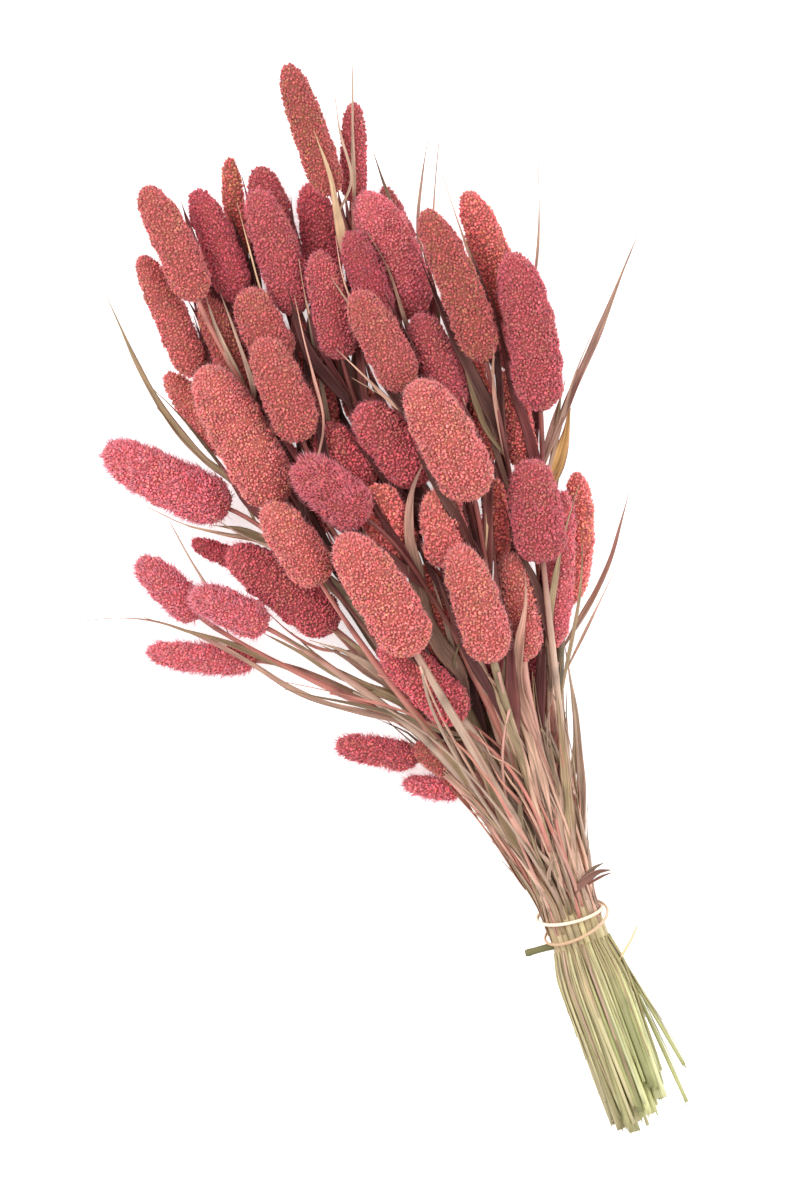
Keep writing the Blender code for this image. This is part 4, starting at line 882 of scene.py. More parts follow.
class Blade:
    """A leaf blade: the middles of its cross-sections, their half widths and their roll."""

    def __init__(self, index, stalks, heads, stems, owner, width, rise, below, tone, *route):
        self.tone = tone
        path = np.array([plan(pixel) for pixel in route])
        if owner in stalks:
            stem = stalks[owner].stem[:-1]
            root = stem[np.argmin(np.linalg.norm(stem[:, :2] - path[0], axis=1))]
            path[0] = root[:2]
        flat = evenly(np.column_stack([path, np.arange(len(path))]), BLADE_PITCH)
        share = np.linspace(0, 1, len(flat))
        self.half = width * MM_PER_PIXEL / 2 * np.minimum(0.4 + 2.4 * share, 1.0)
        self.half = np.maximum(self.half * np.minimum(1.0, 2.6 * (1 - share)) ** 0.8, 0.45)
        self.roll = BLADE_ROLL * np.sin(1.7 * index + BLADE_TWIST * share)
        on_neck = top_over(flat, *stems, side=-1 if owner == "under" else 1)
        if owner not in stalks:
            root = (*path[0], on_neck[0] + (ROOT_SINK if owner == "under" else -ROOT_SINK))
        line = root[2] + rise * share
        over = (flat[:, 2] > below - 0.5) & (share > 0)
        lift = STEM_LIFT + LAYER_LIFT * (index % 3)
        if owner == "under":
            line = np.where((on_neck < BEYOND) & (share > 0), np.minimum(line, on_neck - lift), line)
        else:
            line = np.where(over, np.maximum(line, on_neck + lift), line)
        cover = top_over(flat, *heads) + BLADE_CLEARANCE
        lifted = np.where(over, np.maximum(line, cover), line)
        self.middles = self.drape(np.column_stack([flat[:, :2], lifted]), line, *heads)

    def drape(self, middles, line, balls, radii):
        """Lets the blade sink towards its own line until it rests on the heads or slips between them."""
        home = middles.copy()
        near = np.linalg.norm(balls[:, None] - middles, axis=2).min(axis=1) < BLADE_NEAR
        balls = balls[near]
        reach = radii[near] + BLADE_CLEARANCE + BLADE_THICKNESS / 2
        for turn in range(BLADE_ROUNDS):
            loose = 1 - turn / BLADE_ROUNDS
            middles[1:-1] += BLADE_STIFFNESS * loose * ((middles[2:] + middles[:-2]) / 2 - middles[1:-1])
            middles[:, 2] += BLADE_SINKING * loose * (line - middles[:, 2])
            middles[:, :2] += BLADE_HOLD * loose * (home[:, :2] - middles[:, :2])
            middles[:, 2] = np.maximum(middles[:, 2], 0.4 * self.half + 0.8)
            if len(balls):
                side = rolled(middles, self.roll) * self.half[:, None]
                edges = np.stack([middles - side, middles, middles + side])
                middles += self.push_out(edges, balls, reach)
                halfway = self.push_out((edges[:, 1:] + edges[:, :-1]) / 2, balls, reach)
                middles[1:] += halfway
                middles[:-1] += halfway
            middles[0] = home[0]
        return middles

    @staticmethod
    def push_out(samples, balls, reach):
        """How far each cross-section has to move so that its edges and middle come clear of the balls."""
        gap = samples[:, :, None] - balls
        length = np.linalg.norm(gap, axis=3)
        short = np.maximum(reach - length, 0)
        worst = short.reshape(3, samples.shape[1], -1).max(axis=2).argmax(axis=0)
        section = np.arange(samples.shape[1])
        ball = short[worst, section].argmax(axis=1)
        depth = short[worst, section, ball] / length[worst, section, ball]
        return BLADE_PUSH * gap[worst, section, ball] * depth[:, None]


def frames(points):
    """Two directions square to the run at each point: one level, the other as near upright as it goes."""
    way = directions(points)
    level = unit(np.cross(way, UP))
    return level, np.cross(level, way)


def rolled(points, roll):
    """The way across a strip at each point: level, then turned about the run by the roll."""
    level, upright = frames(points)
    return np.cos(roll)[:, None] * level + np.sin(roll)[:, None] * upright


def roll_on(points, out):
    """The roll at which a strip lies flat on a bundle, given the way straight out of the bundle."""
    level, upright = frames(points)
    return np.unwrap(np.arctan2(-(out * level).sum(axis=1), (out * upright).sum(axis=1)))


def square_to(axes):
    """Two directions square to each axis."""
    helper = np.where(np.abs(axes[:, 2:]) < 0.8, UP, (1.0, 0.0, 0.0))
    one = unit(np.cross(axes, helper))
    return one, np.cross(axes, one)


def angles_round(sides):
    return 2 * math.pi * np.arange(sides) / sides


def circles(one, other, sides):
    """A circle of points round zero for each pair of directions."""
    angles = angles_round(sides)[:, None]
    return np.cos(angles) * one[..., None, :] + np.sin(angles) * other[..., None, :]


def stray_rank(slot):
    """A stem's place counted from the right: the first ones stray from the bundle below the tie."""
    return sorted(bundle_slots(), reverse=True).index(slot)


def cut_end(index, slot):
    """The lower end of a stem: further out than its place in the tie, and no two cut alike."""
    length = CUT_LENGTH - CUT_SLANT * abs(slot[0] + CUT_MIDDLE) - CUT_SCATTER * (index * GOLDEN_TURN % 1)
    across = slot[0] * CUT_SPREAD + CUT_LEAN * math.sin(2.4 * index)
    height = max(slot[1] * CUT_SPREAD + TIE_HEIGHT, LOWEST_STEM)
    if stray_rank(slot) < len(STRAY_ENDS):
        across, length = STRAY_ENDS[stray_rank(slot)]
    return np.array([across, -length, height])


def lower_end(index, slot):
    """A stem's points from its cut end up to the tie: it flares out just below the band."""
    end = cut_end(index, slot)
    flare = np.array([slot[0] * FLARE, FLARE_END, slot[1] * FLARE + TIE_HEIGHT])
    share = (FLARE_END - FLARE_START) / (end[1] - FLARE_START)
    flare[0] = max(abs(flare[0]), abs(end[0]) * share) * math.copysign(1, end[0])
    flare[2] = max(flare[2], LOWEST_STEM)
    return np.array([end, flare, (slot[0], FLARE_START, slot[1] + TIE_HEIGHT)])


def stem_radii(points, slot):
    """A stem's thickness: bare in the tie, clothed by its leaf sheath in the neck, slender under its head."""
    radii = np.interp(
        points[:, 1],
        (TIE_ZONE, 3 * TIE_ZONE, NECK_LENGTH, 1.3 * NECK_LENGTH),
        (STEM_RADIUS, NECK_STEM_RADIUS, NECK_STEM_RADIUS, STALK_RADIUS),
    )
    if stray_rank(slot) < len(STRAY_ENDS):
        radii = np.minimum(radii, np.interp(points[:, 1], (FLARE_END, 0), (STRAY_RADIUS, STEM_RADIUS)))
    return radii


def band_path(around):
    """The band's middle line: twice round the bundle, its turns crossing once at one side."""
    radius = RING_COUNT * SLOT_PITCH + STEM_RADIUS + BAND_CLEARANCE + BAND_RADIUS + BAND_CROSSING
    radius = radius + BAND_CROSSING * np.sin(around / 2)
    angle = around + math.pi * 0.9
    return np.column_stack(
        [
            radius * np.cos(angle),
            BAND_MIDDLE + BAND_SPREAD * np.cos(around / 2) - BAND_TILT * np.sin(angle),
            radius * np.sin(angle) + TIE_HEIGHT,
        ]
    )


def colour(tone):
    """A colour read from the photo, 0 to 255, as Blender's linear one."""
    share = np.asarray(tone, float) / 255
    return np.where(share <= 0.04045, share / 12.92, ((share + 0.055) / 1.055) ** 2.4)


def mixed(one, other, share):
    share = np.asarray(share, float)[..., None]
    return one * (1 - share) + other * share


def add_object(name, data):
    made = bpy.data.objects.new(name, data)
    bpy.context.scene.collection.objects.link(made)
    return made


class Shape:
    """What goes into one mesh: points, faces, and for each point a colour and a place along the fibres."""

    def __init__(self):
        self.points, self.faces, self.tints, self.fibres = [], [], [], []
        self.count = 0

    def add(self, points, faces, tints, fibres=None):
        points = np.asarray(points, float).reshape(-1, 3)
        self.faces += [tuple(int(corner) + self.count for corner in face) for face in faces]
        self.points.append(points)
        self.tints.append(np.broadcast_to(tints, points.shape))
        self.fibres.append(points if fibres is None else np.broadcast_to(fibres, points.shape))
        self.count += len(points)

    def finish(self, name, origin, material, slot, *nodes):
        """The piece, in the row frame, in the place of the CAD nodes that it stands for."""
        points = np.concatenate(self.points)
        points[:, 2] = np.maximum(points[:, 2], FLAT_SPOT)
        mesh = bpy.data.meshes.new(name)
        mesh.from_pydata(((points - origin) * MM).tolist(), [], self.faces, shade_flat=False)
        tints = np.concatenate(self.tints)
        layer = mesh.color_attributes.new("tint", "FLOAT_COLOR", "POINT")
        layer.data.foreach_set("color", np.column_stack([tints, np.ones(len(tints))]).ravel())
        layer = mesh.attributes.new("fibre", "FLOAT_VECTOR", "POINT")
        layer.data.foreach_set("vector", np.concatenate(self.fibres).ravel())
        mesh.materials.append(material)
        mesh.update()
        piece = add_object(name, mesh)
        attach(piece, "root")
        if nodes:
            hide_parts(*nodes)
        return piece


def strip_faces(rings, sides, closed=False):
    """The faces of a skin over rings of equally many points, with end caps where it isn't closed."""
    ring, side = np.divmod(np.arange((rings if closed else rings - 1) * sides), sides)
    after = (side + 1) % sides
    near, far = ring * sides, (ring + 1) % rings * sides
    faces = np.column_stack([near + side, far + side, far + after, near + after])
    faces = [tuple(face) for face in faces.tolist()]
    if not closed:
        last = (rings - 1) * sides
        faces += [tuple(range(sides)), tuple(reversed(range(last, last + sides)))]
    return faces


def add_copies(shape, points, faces, tones, runs):
    """Small bodies with the same faces, a row of points for each. Each tone covers a run of those points."""
    starts = points.shape[1] * np.arange(len(points))
    faces = np.asarray(faces) + starts[:, None, None]
    tints = np.repeat(np.stack(tones, axis=1), runs, axis=1)
    shape.add(points, faces.reshape(-1, 3).tolist(), tints.reshape(-1, 3))


def spindles(shape, middles, axes, lengths, widths, tones):
    """Pointed bodies, each a ring of points between two ends, with a tone at its foot, ring and tip."""
    foot = middles - axes * (lengths / 2)[:, None]
    tip = middles + axes * (lengths / 2)[:, None]
    ring = circles(*square_to(axes), SEED_SIDES) * (widths / 2)[:, None, None]
    belt = (foot + axes * (lengths * SEED_WIDEST)[:, None])[:, None] + ring
    side = np.arange(SEED_SIDES)
    after = (side + 1) % SEED_SIDES
    lower = np.column_stack([np.zeros(SEED_SIDES, int), 1 + after, 1 + side])
    upper = np.column_stack([np.full(SEED_SIDES, SEED_SIDES + 1), 1 + side, 1 + after])
    points = np.concatenate([foot[:, None], belt, tip[:, None]], axis=1)
    add_copies(shape, points, np.concatenate([lower, upper]), tones, (1, SEED_SIDES, 1))


def spikes(shape, feet, axes, lengths, width, tones):
    """Three-sided points, each with a tone at its foot and one at its tip."""
    ring = circles(*square_to(axes), 3)
    tips = feet + axes * lengths[:, None]
    points = np.concatenate([feet[:, None] + ring * width / 2, tips[:, None]], axis=1)
    add_copies(shape, points, [(0, 2, 1), (0, 1, 3), (1, 2, 3), (2, 0, 3)], tones, (3, 1))


def on_head(stalk, share, angle):
    """Points on a head's surface, with the directions straight out of it and along it to its tip."""
    places = share * (HEAD_BEADS - 1)
    way = unit(along_curve(stalk.head, places + 0.01) - along_curve(stalk.head, places - 0.01))
    level = unit(np.cross(way, UP))
    upright = np.cross(level, way)
    radial = np.cos(angle)[:, None] * level + np.sin(angle)[:, None] * upright
    run = share * stalk.length
    swell = np.sin(3 * angle + 0.31 * run + stalk.length) + np.sin(2 * angle - 0.47 * run)
    radius = stalk.radius * head_profile(share) * (1 + SWELL * swell)
    ahead = stalk.radius * head_profile(np.clip(share + 0.01, 0, 1))
    slope = np.clip((ahead - radius) / (0.01 * stalk.length), -2.5, 2.5)
    out = unit(radial - slope[:, None] * way)
    return along_curve(stalk.head, places) + radius[:, None] * radial, out, way


def head_rows(stalk, pitch):
    """Staggered rows of places over a head, a pitch apart, as shares of its length and angles round it."""
    fine = np.linspace(0, 1, 300)
    radius = stalk.radius * head_profile(fine)
    run = np.concatenate([[0], np.cumsum(np.hypot(np.diff(fine) * stalk.length, np.diff(radius)))])
    rows = np.interp(np.arange(pitch / 2, run[-1], 0.87 * pitch), run, fine)
    shares, angles = [], []
    for row, share in enumerate(rows):
        count = max(3, round(2 * math.pi * stalk.radius * head_profile(share) / pitch))
        shares.append(np.full(count, share))
        angles.append(2 * math.pi * (np.arange(count) + row % 2 / 2) / count + 0.03 * row)
    return np.concatenate(shares), np.concatenate(angles)


def seed_tints(tones, run, angle, random):
    """The seeds' colours: dyed, faded in patches, and here and there a pale fleck or a dark speck."""
    seed, faded, bristle = (colour(tone) for tone in tones)
    count = len(run)
    patch = np.sin(2 * angle + 0.15 * run) + np.sin(0.13 * run + 2)
    is_faded = random.random(count) < FADED_SEEDS + FADED_PATCHES * patch
    light = random.uniform(*SEED_LIGHTS, count)
    chance = random.random(count)
    light = np.where(chance < FLECKS, FLECK_LIGHT, np.where(chance > 1 - SPECKS, SPECK_LIGHT, light))
    body = np.where(is_faded[:, None], faded, seed)
    shift = random.uniform(-1, 1, count)
    body = mixed(body, bristle, SEED_PALENESS * np.clip(shift, 0, 1))
    body = mixed(body, colour(GAP_COLOUR), SEED_DEPTH * np.clip(-shift, 0, 1))
    return body * light[:, None]


def add_seeds(shape, stalk, tones, random, ceiling):
    """Seeds in staggered rows, a little lobed and uneven, some of which have lost their dye."""
    share, angle = head_rows(stalk, SEED_PITCH)
    count = len(share)
    scatter = SEED_SCATTER * SEED_PITCH
    share = np.clip(share + random.normal(0, scatter / stalk.length, count), 0.004, 0.996)
    angle = angle + random.normal(0, scatter / stalk.radius, count)
    points, out, way = on_head(stalk, share, angle)
    run = share * stalk.length
    lobes = np.sin(7 * angle + 1.7 * np.sin(0.4 * run)) * np.sin(1.1 * run + 2 * angle)
    rise = SEED_RISE + LOBE_HEIGHT * lobes + random.normal(0, SEED_UNEVENNESS, count)
    axes = unit(out + SEED_LEAN * way + random.normal(0, SEED_DISORDER, (count, 3)))
    size = random.uniform(*SEED_SIZES, count)
    # Painted light and shade: seeds on the raised lobes are a little lighter, those in the hollows darker
    body = seed_tints(tones, run, angle, random) * (1 + LOBE_SHADE * lobes)[:, None]
    # Painted light: the whole head's colour is lightened against the shade it lies in, or darkened, under 1,
    # where it catches more light
    body = body * HEAD_PAINTED_LIGHT.get(stalk.name, 1.0)
    # Painted shade: each seed darkens towards the gap colour at its foot, where it meets the skin
    foot = mixed(body, colour(GAP_COLOUR), FOOT_SHADE)
    tip = mixed(body, colour(tones[2]), TIP_SHADE)
    middles = points + out * rise[:, None]
    tips = middles + axes * (SEED_LENGTH * size / 2)[:, None]
    middles[:, 2] -= np.clip(tips[:, 2] - ceiling, 0, None)
    spindles(shape, middles, axes, SEED_LENGTH * size, SEED_WIDTH * size, (foot, body, tip))


def add_bristles(shape, stalk, tones, random, fuzz, ceiling):
    """Fine bristles that stand out between the seeds and lean to the head's tip."""
    area = 2 * math.pi * stalk.radius * stalk.length * 0.85
    count = int(area / BRISTLE_AREA * fuzz)
    share = random.uniform(0.01, 0.99, count)
    angle = random.uniform(0, 2 * math.pi, count)
    points, out, way = on_head(stalk, share, angle)
    axes = unit(out + BRISTLE_LEAN * way + random.normal(0, BRISTLE_DISORDER, (count, 3)))
    length = BRISTLE_LENGTH * random.uniform(*BRISTLE_SIZES, count) * fuzz**0.5
    room = (ceiling - points[:, 2]) / np.maximum(axes[:, 2], 0.05)
    length = np.clip(np.minimum(length, room), SHORTEST_BRISTLE, None)
    tone = colour(tones[2])
    root = np.broadcast_to(BRISTLE_ROOT_SHADE * tone, (count, 3))
    end = tone * random.uniform(*BRISTLE_LIGHTS, count)[:, None]
    spikes(shape, points - BRISTLE_SINK * out, axes, length, BRISTLE_WIDTH * fuzz, (root, end))


def add_core(shape, stalk, tones):
    """The grained skin that shows between the seeds, darkened as painted shade between them."""
    share = (1 - np.cos(math.pi * np.linspace(0.03, 0.97, CORE_RINGS))) / 2
    rings = []
    for place in share:
        points, _, _ = on_head(stalk, np.full(CORE_SIDES, place), angles_round(CORE_SIDES))
        middle = along_curve(stalk.head, np.array([place * (HEAD_BEADS - 1)]))
        rings.append(middle + CORE_SHARE * (points - middle))
    seed, faded, _ = (colour(tone) for tone in tones)
    # Painted shade: the skin is a darker share of the seed tone
    tone = CORE_PAINTED_SHADE * mixed(seed, faded, CORE_FADE)
    shape.add(np.stack(rings), strip_faces(CORE_RINGS, CORE_SIDES), tone)


def add_head(index, stalk, origin, material, top):
    random = np.random.default_rng(index)
    tones = HEAD_TONES[stalk.tone]
    shape = Shape()
    add_core(shape, stalk, tones)
    add_seeds(shape, stalk, tones, random, top + SEED_CEILING)
    fuzz = FUZZ if stalk.name in FUZZY_HEADS else 1.0
    add_bristles(shape, stalk, tones, random, fuzz, top + BRISTLE_CEILING)
    return shape.finish(f"{stalk.name}_seeds", origin, material, "seed_heads", stalk.name)


def add_tube(shape, points, radii, sides, tints, seed=0.0):
    """A round stem along the points, with fibres that run along it."""
    level, upright = frames(points)
    radii = np.broadcast_to(radii, len(points))[:, None, None]
    skin = points[:, None] + circles(level, upright, sides) * radii
    run = np.concatenate([[0], np.cumsum(np.linalg.norm(np.diff(points, axis=0), axis=1))])
    angles = angles_round(sides)
    fibres = np.broadcast_arrays(3 * np.cos(angles), run[:, None], 3 * np.sin(angles) + seed)
    tints = np.repeat(np.broadcast_to(tints, points.shape)[:, None], sides, axis=1)
    faces = strip_faces(len(points), sides)
    shape.add(skin, faces, tints.reshape(-1, 3), np.stack(fibres, axis=2).reshape(-1, 3))


def straw_tone(index, slot, random):
    """A stem's colour below the tie: browner towards the left."""
    straw = colour(STRAW_TONES[index % len(STRAW_TONES)]) * random.uniform(*STRAW_LIGHTS)
    brown = np.interp(slot[0], (-SLOT_PITCH * RING_COUNT, 0), (LEFT_BROWN, 0))
    return mixed(straw, colour(BROWN_STRAW), brown)


def straw_tints(points, index, slot, stalk_tone, random):
    """A stem's colours: greenish below the tie, tan in it, brown in the neck, reddish under its head."""
    straw = straw_tone(index, slot, random)
    neck = colour(LEAF_TONES[NECK_TONES[index % len(NECK_TONES)]]) * random.uniform(*NECK_LIGHTS)
    stops = (*STRAW_STOPS, NECK_LENGTH, 1.4 * NECK_LENGTH)
    tones = np.array([straw, mixed(colour(TIE_STRAW), straw, 0.4), neck, neck, colour(stalk_tone)])
    return np.column_stack([np.interp(points[:, 1], stops, tones[:, channel]) for channel in range(3)])


def lower_stem(index, slot):
    """The run of a stem from its cut end to the tie, a little bowed."""
    corners = lower_end(index, slot)
    along = np.linspace(corners[0, 1], corners[2, 1], LOWER_STEM_POINTS)
    points = np.column_stack([np.interp(along, corners[:, 1], corners[:, axis]) for axis in range(3)])
    bow = np.array([math.sin(3.1 * index), 0.0, math.cos(2.3 * index)])
    return points + LOWER_STEM_BOW * np.sin(math.pi * np.linspace(0, 1, LOWER_STEM_POINTS))[:, None] * bow


def add_cut_face(shape, point, way, radius, tone):
    """The pale pith in a cut end: a low rim that stands out of the end, with its middle sunk."""
    level = unit(np.cross(way, UP))
    ring = circles(level, np.cross(level, way), STEM_SIDES)
    rings = [point + CUT_DEPTH * way * depth + size * radius * ring for depth, size in CUT_FACE]
    shape.add(np.stack(rings), strip_faces(len(CUT_FACE), STEM_SIDES), tone)


def add_fray(shape, point, way, radius, tone, random):
    """Torn fibres round a cut end."""
    feet = point - 1.5 * way + 0.8 * radius * unit(random.normal(0, 1, (FRAY_COUNT, 3)) * (1, 0.1, 1))
    axes = unit(way + random.normal(0, FRAY_DISORDER, (FRAY_COUNT, 3)))
    lengths = random.uniform(*FRAY_LENGTHS, FRAY_COUNT)
    tones = np.broadcast_to(tone, (FRAY_COUNT, 3))
    spikes(shape, feet, axes, lengths, FRAY_WIDTH, (tones, 1.1 * tones))


def add_stem(shape, index, slot, upper, stalk_tone, random):
    """A whole stem from its cut end up through the tie along its upper points."""
    path = np.vstack([lower_stem(index, slot), upper])
    points = evenly(path, STEM_PITCH)
    radii = stem_radii(points, slot) * (1 + 0.06 * np.sin(points[:, 1] / 9 + index))
    tints = straw_tints(points, index, slot, stalk_tone, random)
    nodes = np.arange(4 + index % NODE_EVERY, len(points), NODE_EVERY)
    radii[nodes] *= NODE_SWELL
    tints[nodes] *= NODE_SHADE
    way = directions(points)[0]
    add_tube(shape, points, radii, STEM_SIDES, tints, seed=7.0 * index)
    add_cut_face(shape, points[0], way, radii[0], colour(CUT_TONE))
    add_fray(shape, points[0], -way, radii[0], tints[0], random)


def add_thin_straws(shape, random):
    """Thin stems that lie in the grooves between the outer ones, below the tie."""
    outer = outer_slots()
    for index, slot in enumerate(outer):
        beside = (index + 1) % len(outer)
        if min(stray_rank(slot), stray_rank(outer[beside])) < len(STRAY_ENDS):
            continue
        points = (lower_stem(index, slot) + lower_stem(beside, outer[beside])) / 2
        out = unit(np.array([slot[0] + outer[beside][0], 0.0, slot[1] + outer[beside][1]]))
        points = points[int(random.integers(3)) :] + THIN_STRAW_LIFT * out
        points[0, 1] -= random.uniform(0, 8)
        tone = straw_tone(int(random.integers(len(STRAW_TONES))), slot, random)
        points = evenly(points, STEM_PITCH)
        share = np.linspace(0, 1, len(points))
        radii = THIN_STRAW_RADIUS * np.interp(share, (0.7, 1), (1, 0.2))
        tints = mixed(tone, colour(TIE_STRAW), 0.6 * np.clip(2 * share - 1, 0, 1))
        add_tube(shape, points, radii, THIN_SIDES, tints, seed=9.0 * index)


def add_neck_straws(shape, stalks, random):
    """Thin pale stems that cross over the others in the neck."""
    outer = outer_stalks(stalks)
    for turn in range(NECK_STRAW_COUNT):
        stalk = outer[turn * 7 % len(outer)]
        other = neighbour(stalk, outer, NECK_STRAW_REACH, random)
        low = random.uniform(*NECK_STRAW_STARTS)
        high = min(random.uniform(*NECK_STRAW_ENDS), stalk.stem[-1, 1], other.stem[-1, 1])
        along = np.arange(low, high, STEM_PITCH)
        if len(along) < FEWEST_STEPS:
            continue
        one, two = stems_at([stalk, other], along)
        middle = stems_at(stalks, along).mean(axis=0)
        share = np.linspace(0, 1, len(along))
        place = one + (two - one) * share**1.5
        out = unit((place - middle).T).T
        lift = NECK_STEM_RADIUS + random.uniform(*NECK_STRAW_LIFTS)
        place = place + out * np.interp(along, SWELL_ZONE, (STEM_RADIUS - 0.6, lift))
        points = np.column_stack([place[0], along, place[1]])
        tone = LEAF_TONES[STRAW_LEAF_TONES[turn % len(STRAW_LEAF_TONES)]]
        tone = colour(tone) * random.uniform(*NECK_STRAW_LIGHTS)
        radii = random.uniform(*NECK_STRAW_RADII) * np.linspace(1.1, 0.7, len(points))
        add_tube(shape, points, radii, THIN_SIDES, tone, seed=11.0 * turn)


def add_stub(shape):
    """The short end of a thick stem that sticks out beside the tie."""
    points = evenly(np.array(STUB_PATH), 2.0)
    radii = STUB_RADIUS * np.interp(np.linspace(0, 1, len(points)), (0, 0.8, 0.9, 1), (1, 0.9, 1.05, 0.85))
    add_tube(shape, points, radii, STEM_SIDES, colour(STUB_TONE), seed=3.0)


def add_twig(shape):
    """A thin pale twig that is broken off beside the tie."""
    path = np.array([(*plan(pixel), TIE_HEIGHT + height) for *pixel, height in TWIG])
    points = evenly(path, TWIG_PITCH)
    radii = np.linspace(*TWIG_RADII, len(points))
    add_tube(shape, points, radii, STEM_SIDES, colour(TWIG_TONE), seed=5.0)


def add_stems(stalks, bare_slots, origin, material):
    random = np.random.default_rng(STEM_DRAWS)
    shape = Shape()
    for index, stalk in enumerate(stalks):
        inside = stalk.head[0] + 3 * directions(stalk.head)[0]
        tone = SHADED_STALK_TONE if crowd(stalk, stalks) >= CROWD_LEAST else STALK_TONE
        add_stem(shape, index, stalk.slot, np.vstack([stalk.stem, stalk.head[0], inside]), tone, random)
    for extra, slot in enumerate(bare_slots):
        middle = np.array([slot[0], 0.0, slot[1] + TIE_HEIGHT])
        end = middle + (0.3 * slot[0], BARE_STEM_LENGTH, 0.3 * slot[1] + 4)
        upper = np.array([middle + (0, TIE_ZONE, 0), end])
        add_stem(shape, len(stalks) + extra, slot, upper, STALK_TONE, random)
    add_thin_straws(shape, random)
    add_neck_straws(shape, stalks, random)
    add_stub(shape)
    add_twig(shape)
    return shape.finish("stems", origin, material, "stems_and_leaves", "leafy_stems")


def waves(run, length, random):
    return np.sin(run / length + random.uniform(0, 6))


def leaf_relief(place, face, half, run, curl, random):
    """The height of a leaf's skin over its middle line: its curl, its waves, its thickness and its ribs."""
    bow = curl * (1 + 0.6 * waves(run, 16, random))
    wave = LEAF_WAVE * waves(run, 4.5, random)
    lift = half[:, None] * (bow[:, None] * (place**2 - 0.35) + wave[:, None] * place * np.abs(place))
    thick = LEAF_THICKNESS / 2 * np.sqrt(np.maximum(1 - place**2, 0.02)) * face
    ribs = LEAF_RIB * np.cos(3 * math.pi * place)
    return lift + thick + ribs * np.minimum(half, 1)[:, None]


def leaf_tints(place, run, tone, random):
    """A leaf's colours: its tone, browner in stretches, with a dry pink rim."""
    base = colour(LEAF_TONES[tone]) * random.uniform(*LEAF_LIGHTS)
    fade = 0.5 + 0.5 * waves(run, 23, random)
    # Leaves in the dark tones stand for painted shade: they take less of the brown fade and the pink rim, so
    # they stay dark
    dry = SHADE_LEAF_RIM_AND_FADE if tone in DEEP_SHADE_TONES else 1.0
    body = mixed(base, colour(LEAF_TONES["olive_brown"]), LEAF_FADE * dry * fade)
    return mixed(body[:, None], colour(LEAF_EDGE), (np.abs(place) ** 3 * EDGE_SHARE * dry)[None])


def add_leaf(shape, middles, half, roll, tone, random, curl=LEAF_CURL, twist=0.0, pitch=LEAF_PITCH):
    """A dried blade: thin, curled up at its edges, wavy, pink at its rim and pointed at its tip."""
    length = np.linalg.norm(np.diff(middles, axis=0), axis=1).sum()
    rows = evenly(np.column_stack([middles, half, roll]), pitch, least=8)
    middles, half, roll = rows[:, :3], np.maximum(rows[:, 3], LEAF_LEAST_HALF), rows[:, 4]
    share = np.linspace(0, 1, len(middles))
    run = length * share
    half = half * np.interp(share, (0, 0.45, 0.9, 1), (1, 1, 0.55, 0.2))
    half = half * (1 + 0.12 * waves(run, 7, random))
    across = rolled(middles, roll + twist * share**2)
    up = np.cross(across, directions(middles))
    place = np.linspace(-1, 1, LEAF_POINTS)
    place = np.concatenate([place, place[-2:0:-1]])
    face = np.concatenate([np.ones(LEAF_POINTS), -np.ones(LEAF_POINTS - 2)])
    height = leaf_relief(place, face, half, run, curl, random)
    aside = half[:, None] * place
    skin = middles[:, None] + across[:, None] * aside[:, :, None] + up[:, None] * height[:, :, None]
    tints = leaf_tints(place, run, tone, random)
    fibres = np.broadcast_arrays(aside, run[:, None], random.uniform(0, 100) + face)
    faces = strip_faces(len(middles), len(place))
    shape.add(skin, faces, tints.reshape(-1, 3), np.stack(fibres, axis=2).reshape(-1, 3))


def stems_at(stalks, along):
    """Each stem's place, across and up, at the given distances from the tie."""
    paths = [np.vstack([(stalk.slot[0], 0.0, stalk.slot[1] + TIE_HEIGHT), stalk.stem]) for stalk in stalks]
    return np.array([[np.interp(along, path[:, 1], path[:, axis]) for axis in (0, 2)] for path in paths])


def add_sheath(shape, one, other, middle, along, lift, tone, random):
    """A strip of old leaf that crosses from one stem of the neck to another and comes loose at its end."""
    share = np.linspace(0, 1, len(along))
    blend = random.uniform(0, 1) * np.clip(1.5 * share - 0.2, 0, 1) ** 2
    place = one * (1 - blend) + other * blend
    out = unit((place - middle).T)
    swing = random.uniform(*SHEATH_WANDER)
    wander = swing * np.sin(share * random.uniform(3, 11) + random.uniform(0, 6)) * share
    flat = place.T + out * lift[:, None] + wander[:, None] * np.column_stack([-out[:, 1], out[:, 0]])
    middles = np.column_stack([flat[:, 0], along, flat[:, 1]])
    half = random.uniform(*SHEATH_HALF_WIDTHS) * np.interp(share, (0, 0.15, 0.7, 1), (0.7, 1, 0.9, 0.15))
    roll = roll_on(middles, np.column_stack([out[:, 0], np.zeros(len(out)), out[:, 1]]))
    roll = roll + random.uniform(0, 0.7) * np.sin(share * random.uniform(6, 14))
    twist = random.uniform(*SHEATH_TWISTS)
    curl = random.uniform(*SHEATH_CURLS)
    add_leaf(shape, middles, half, roll, tone, random, curl=curl, twist=twist, pitch=STRAND_PITCH)


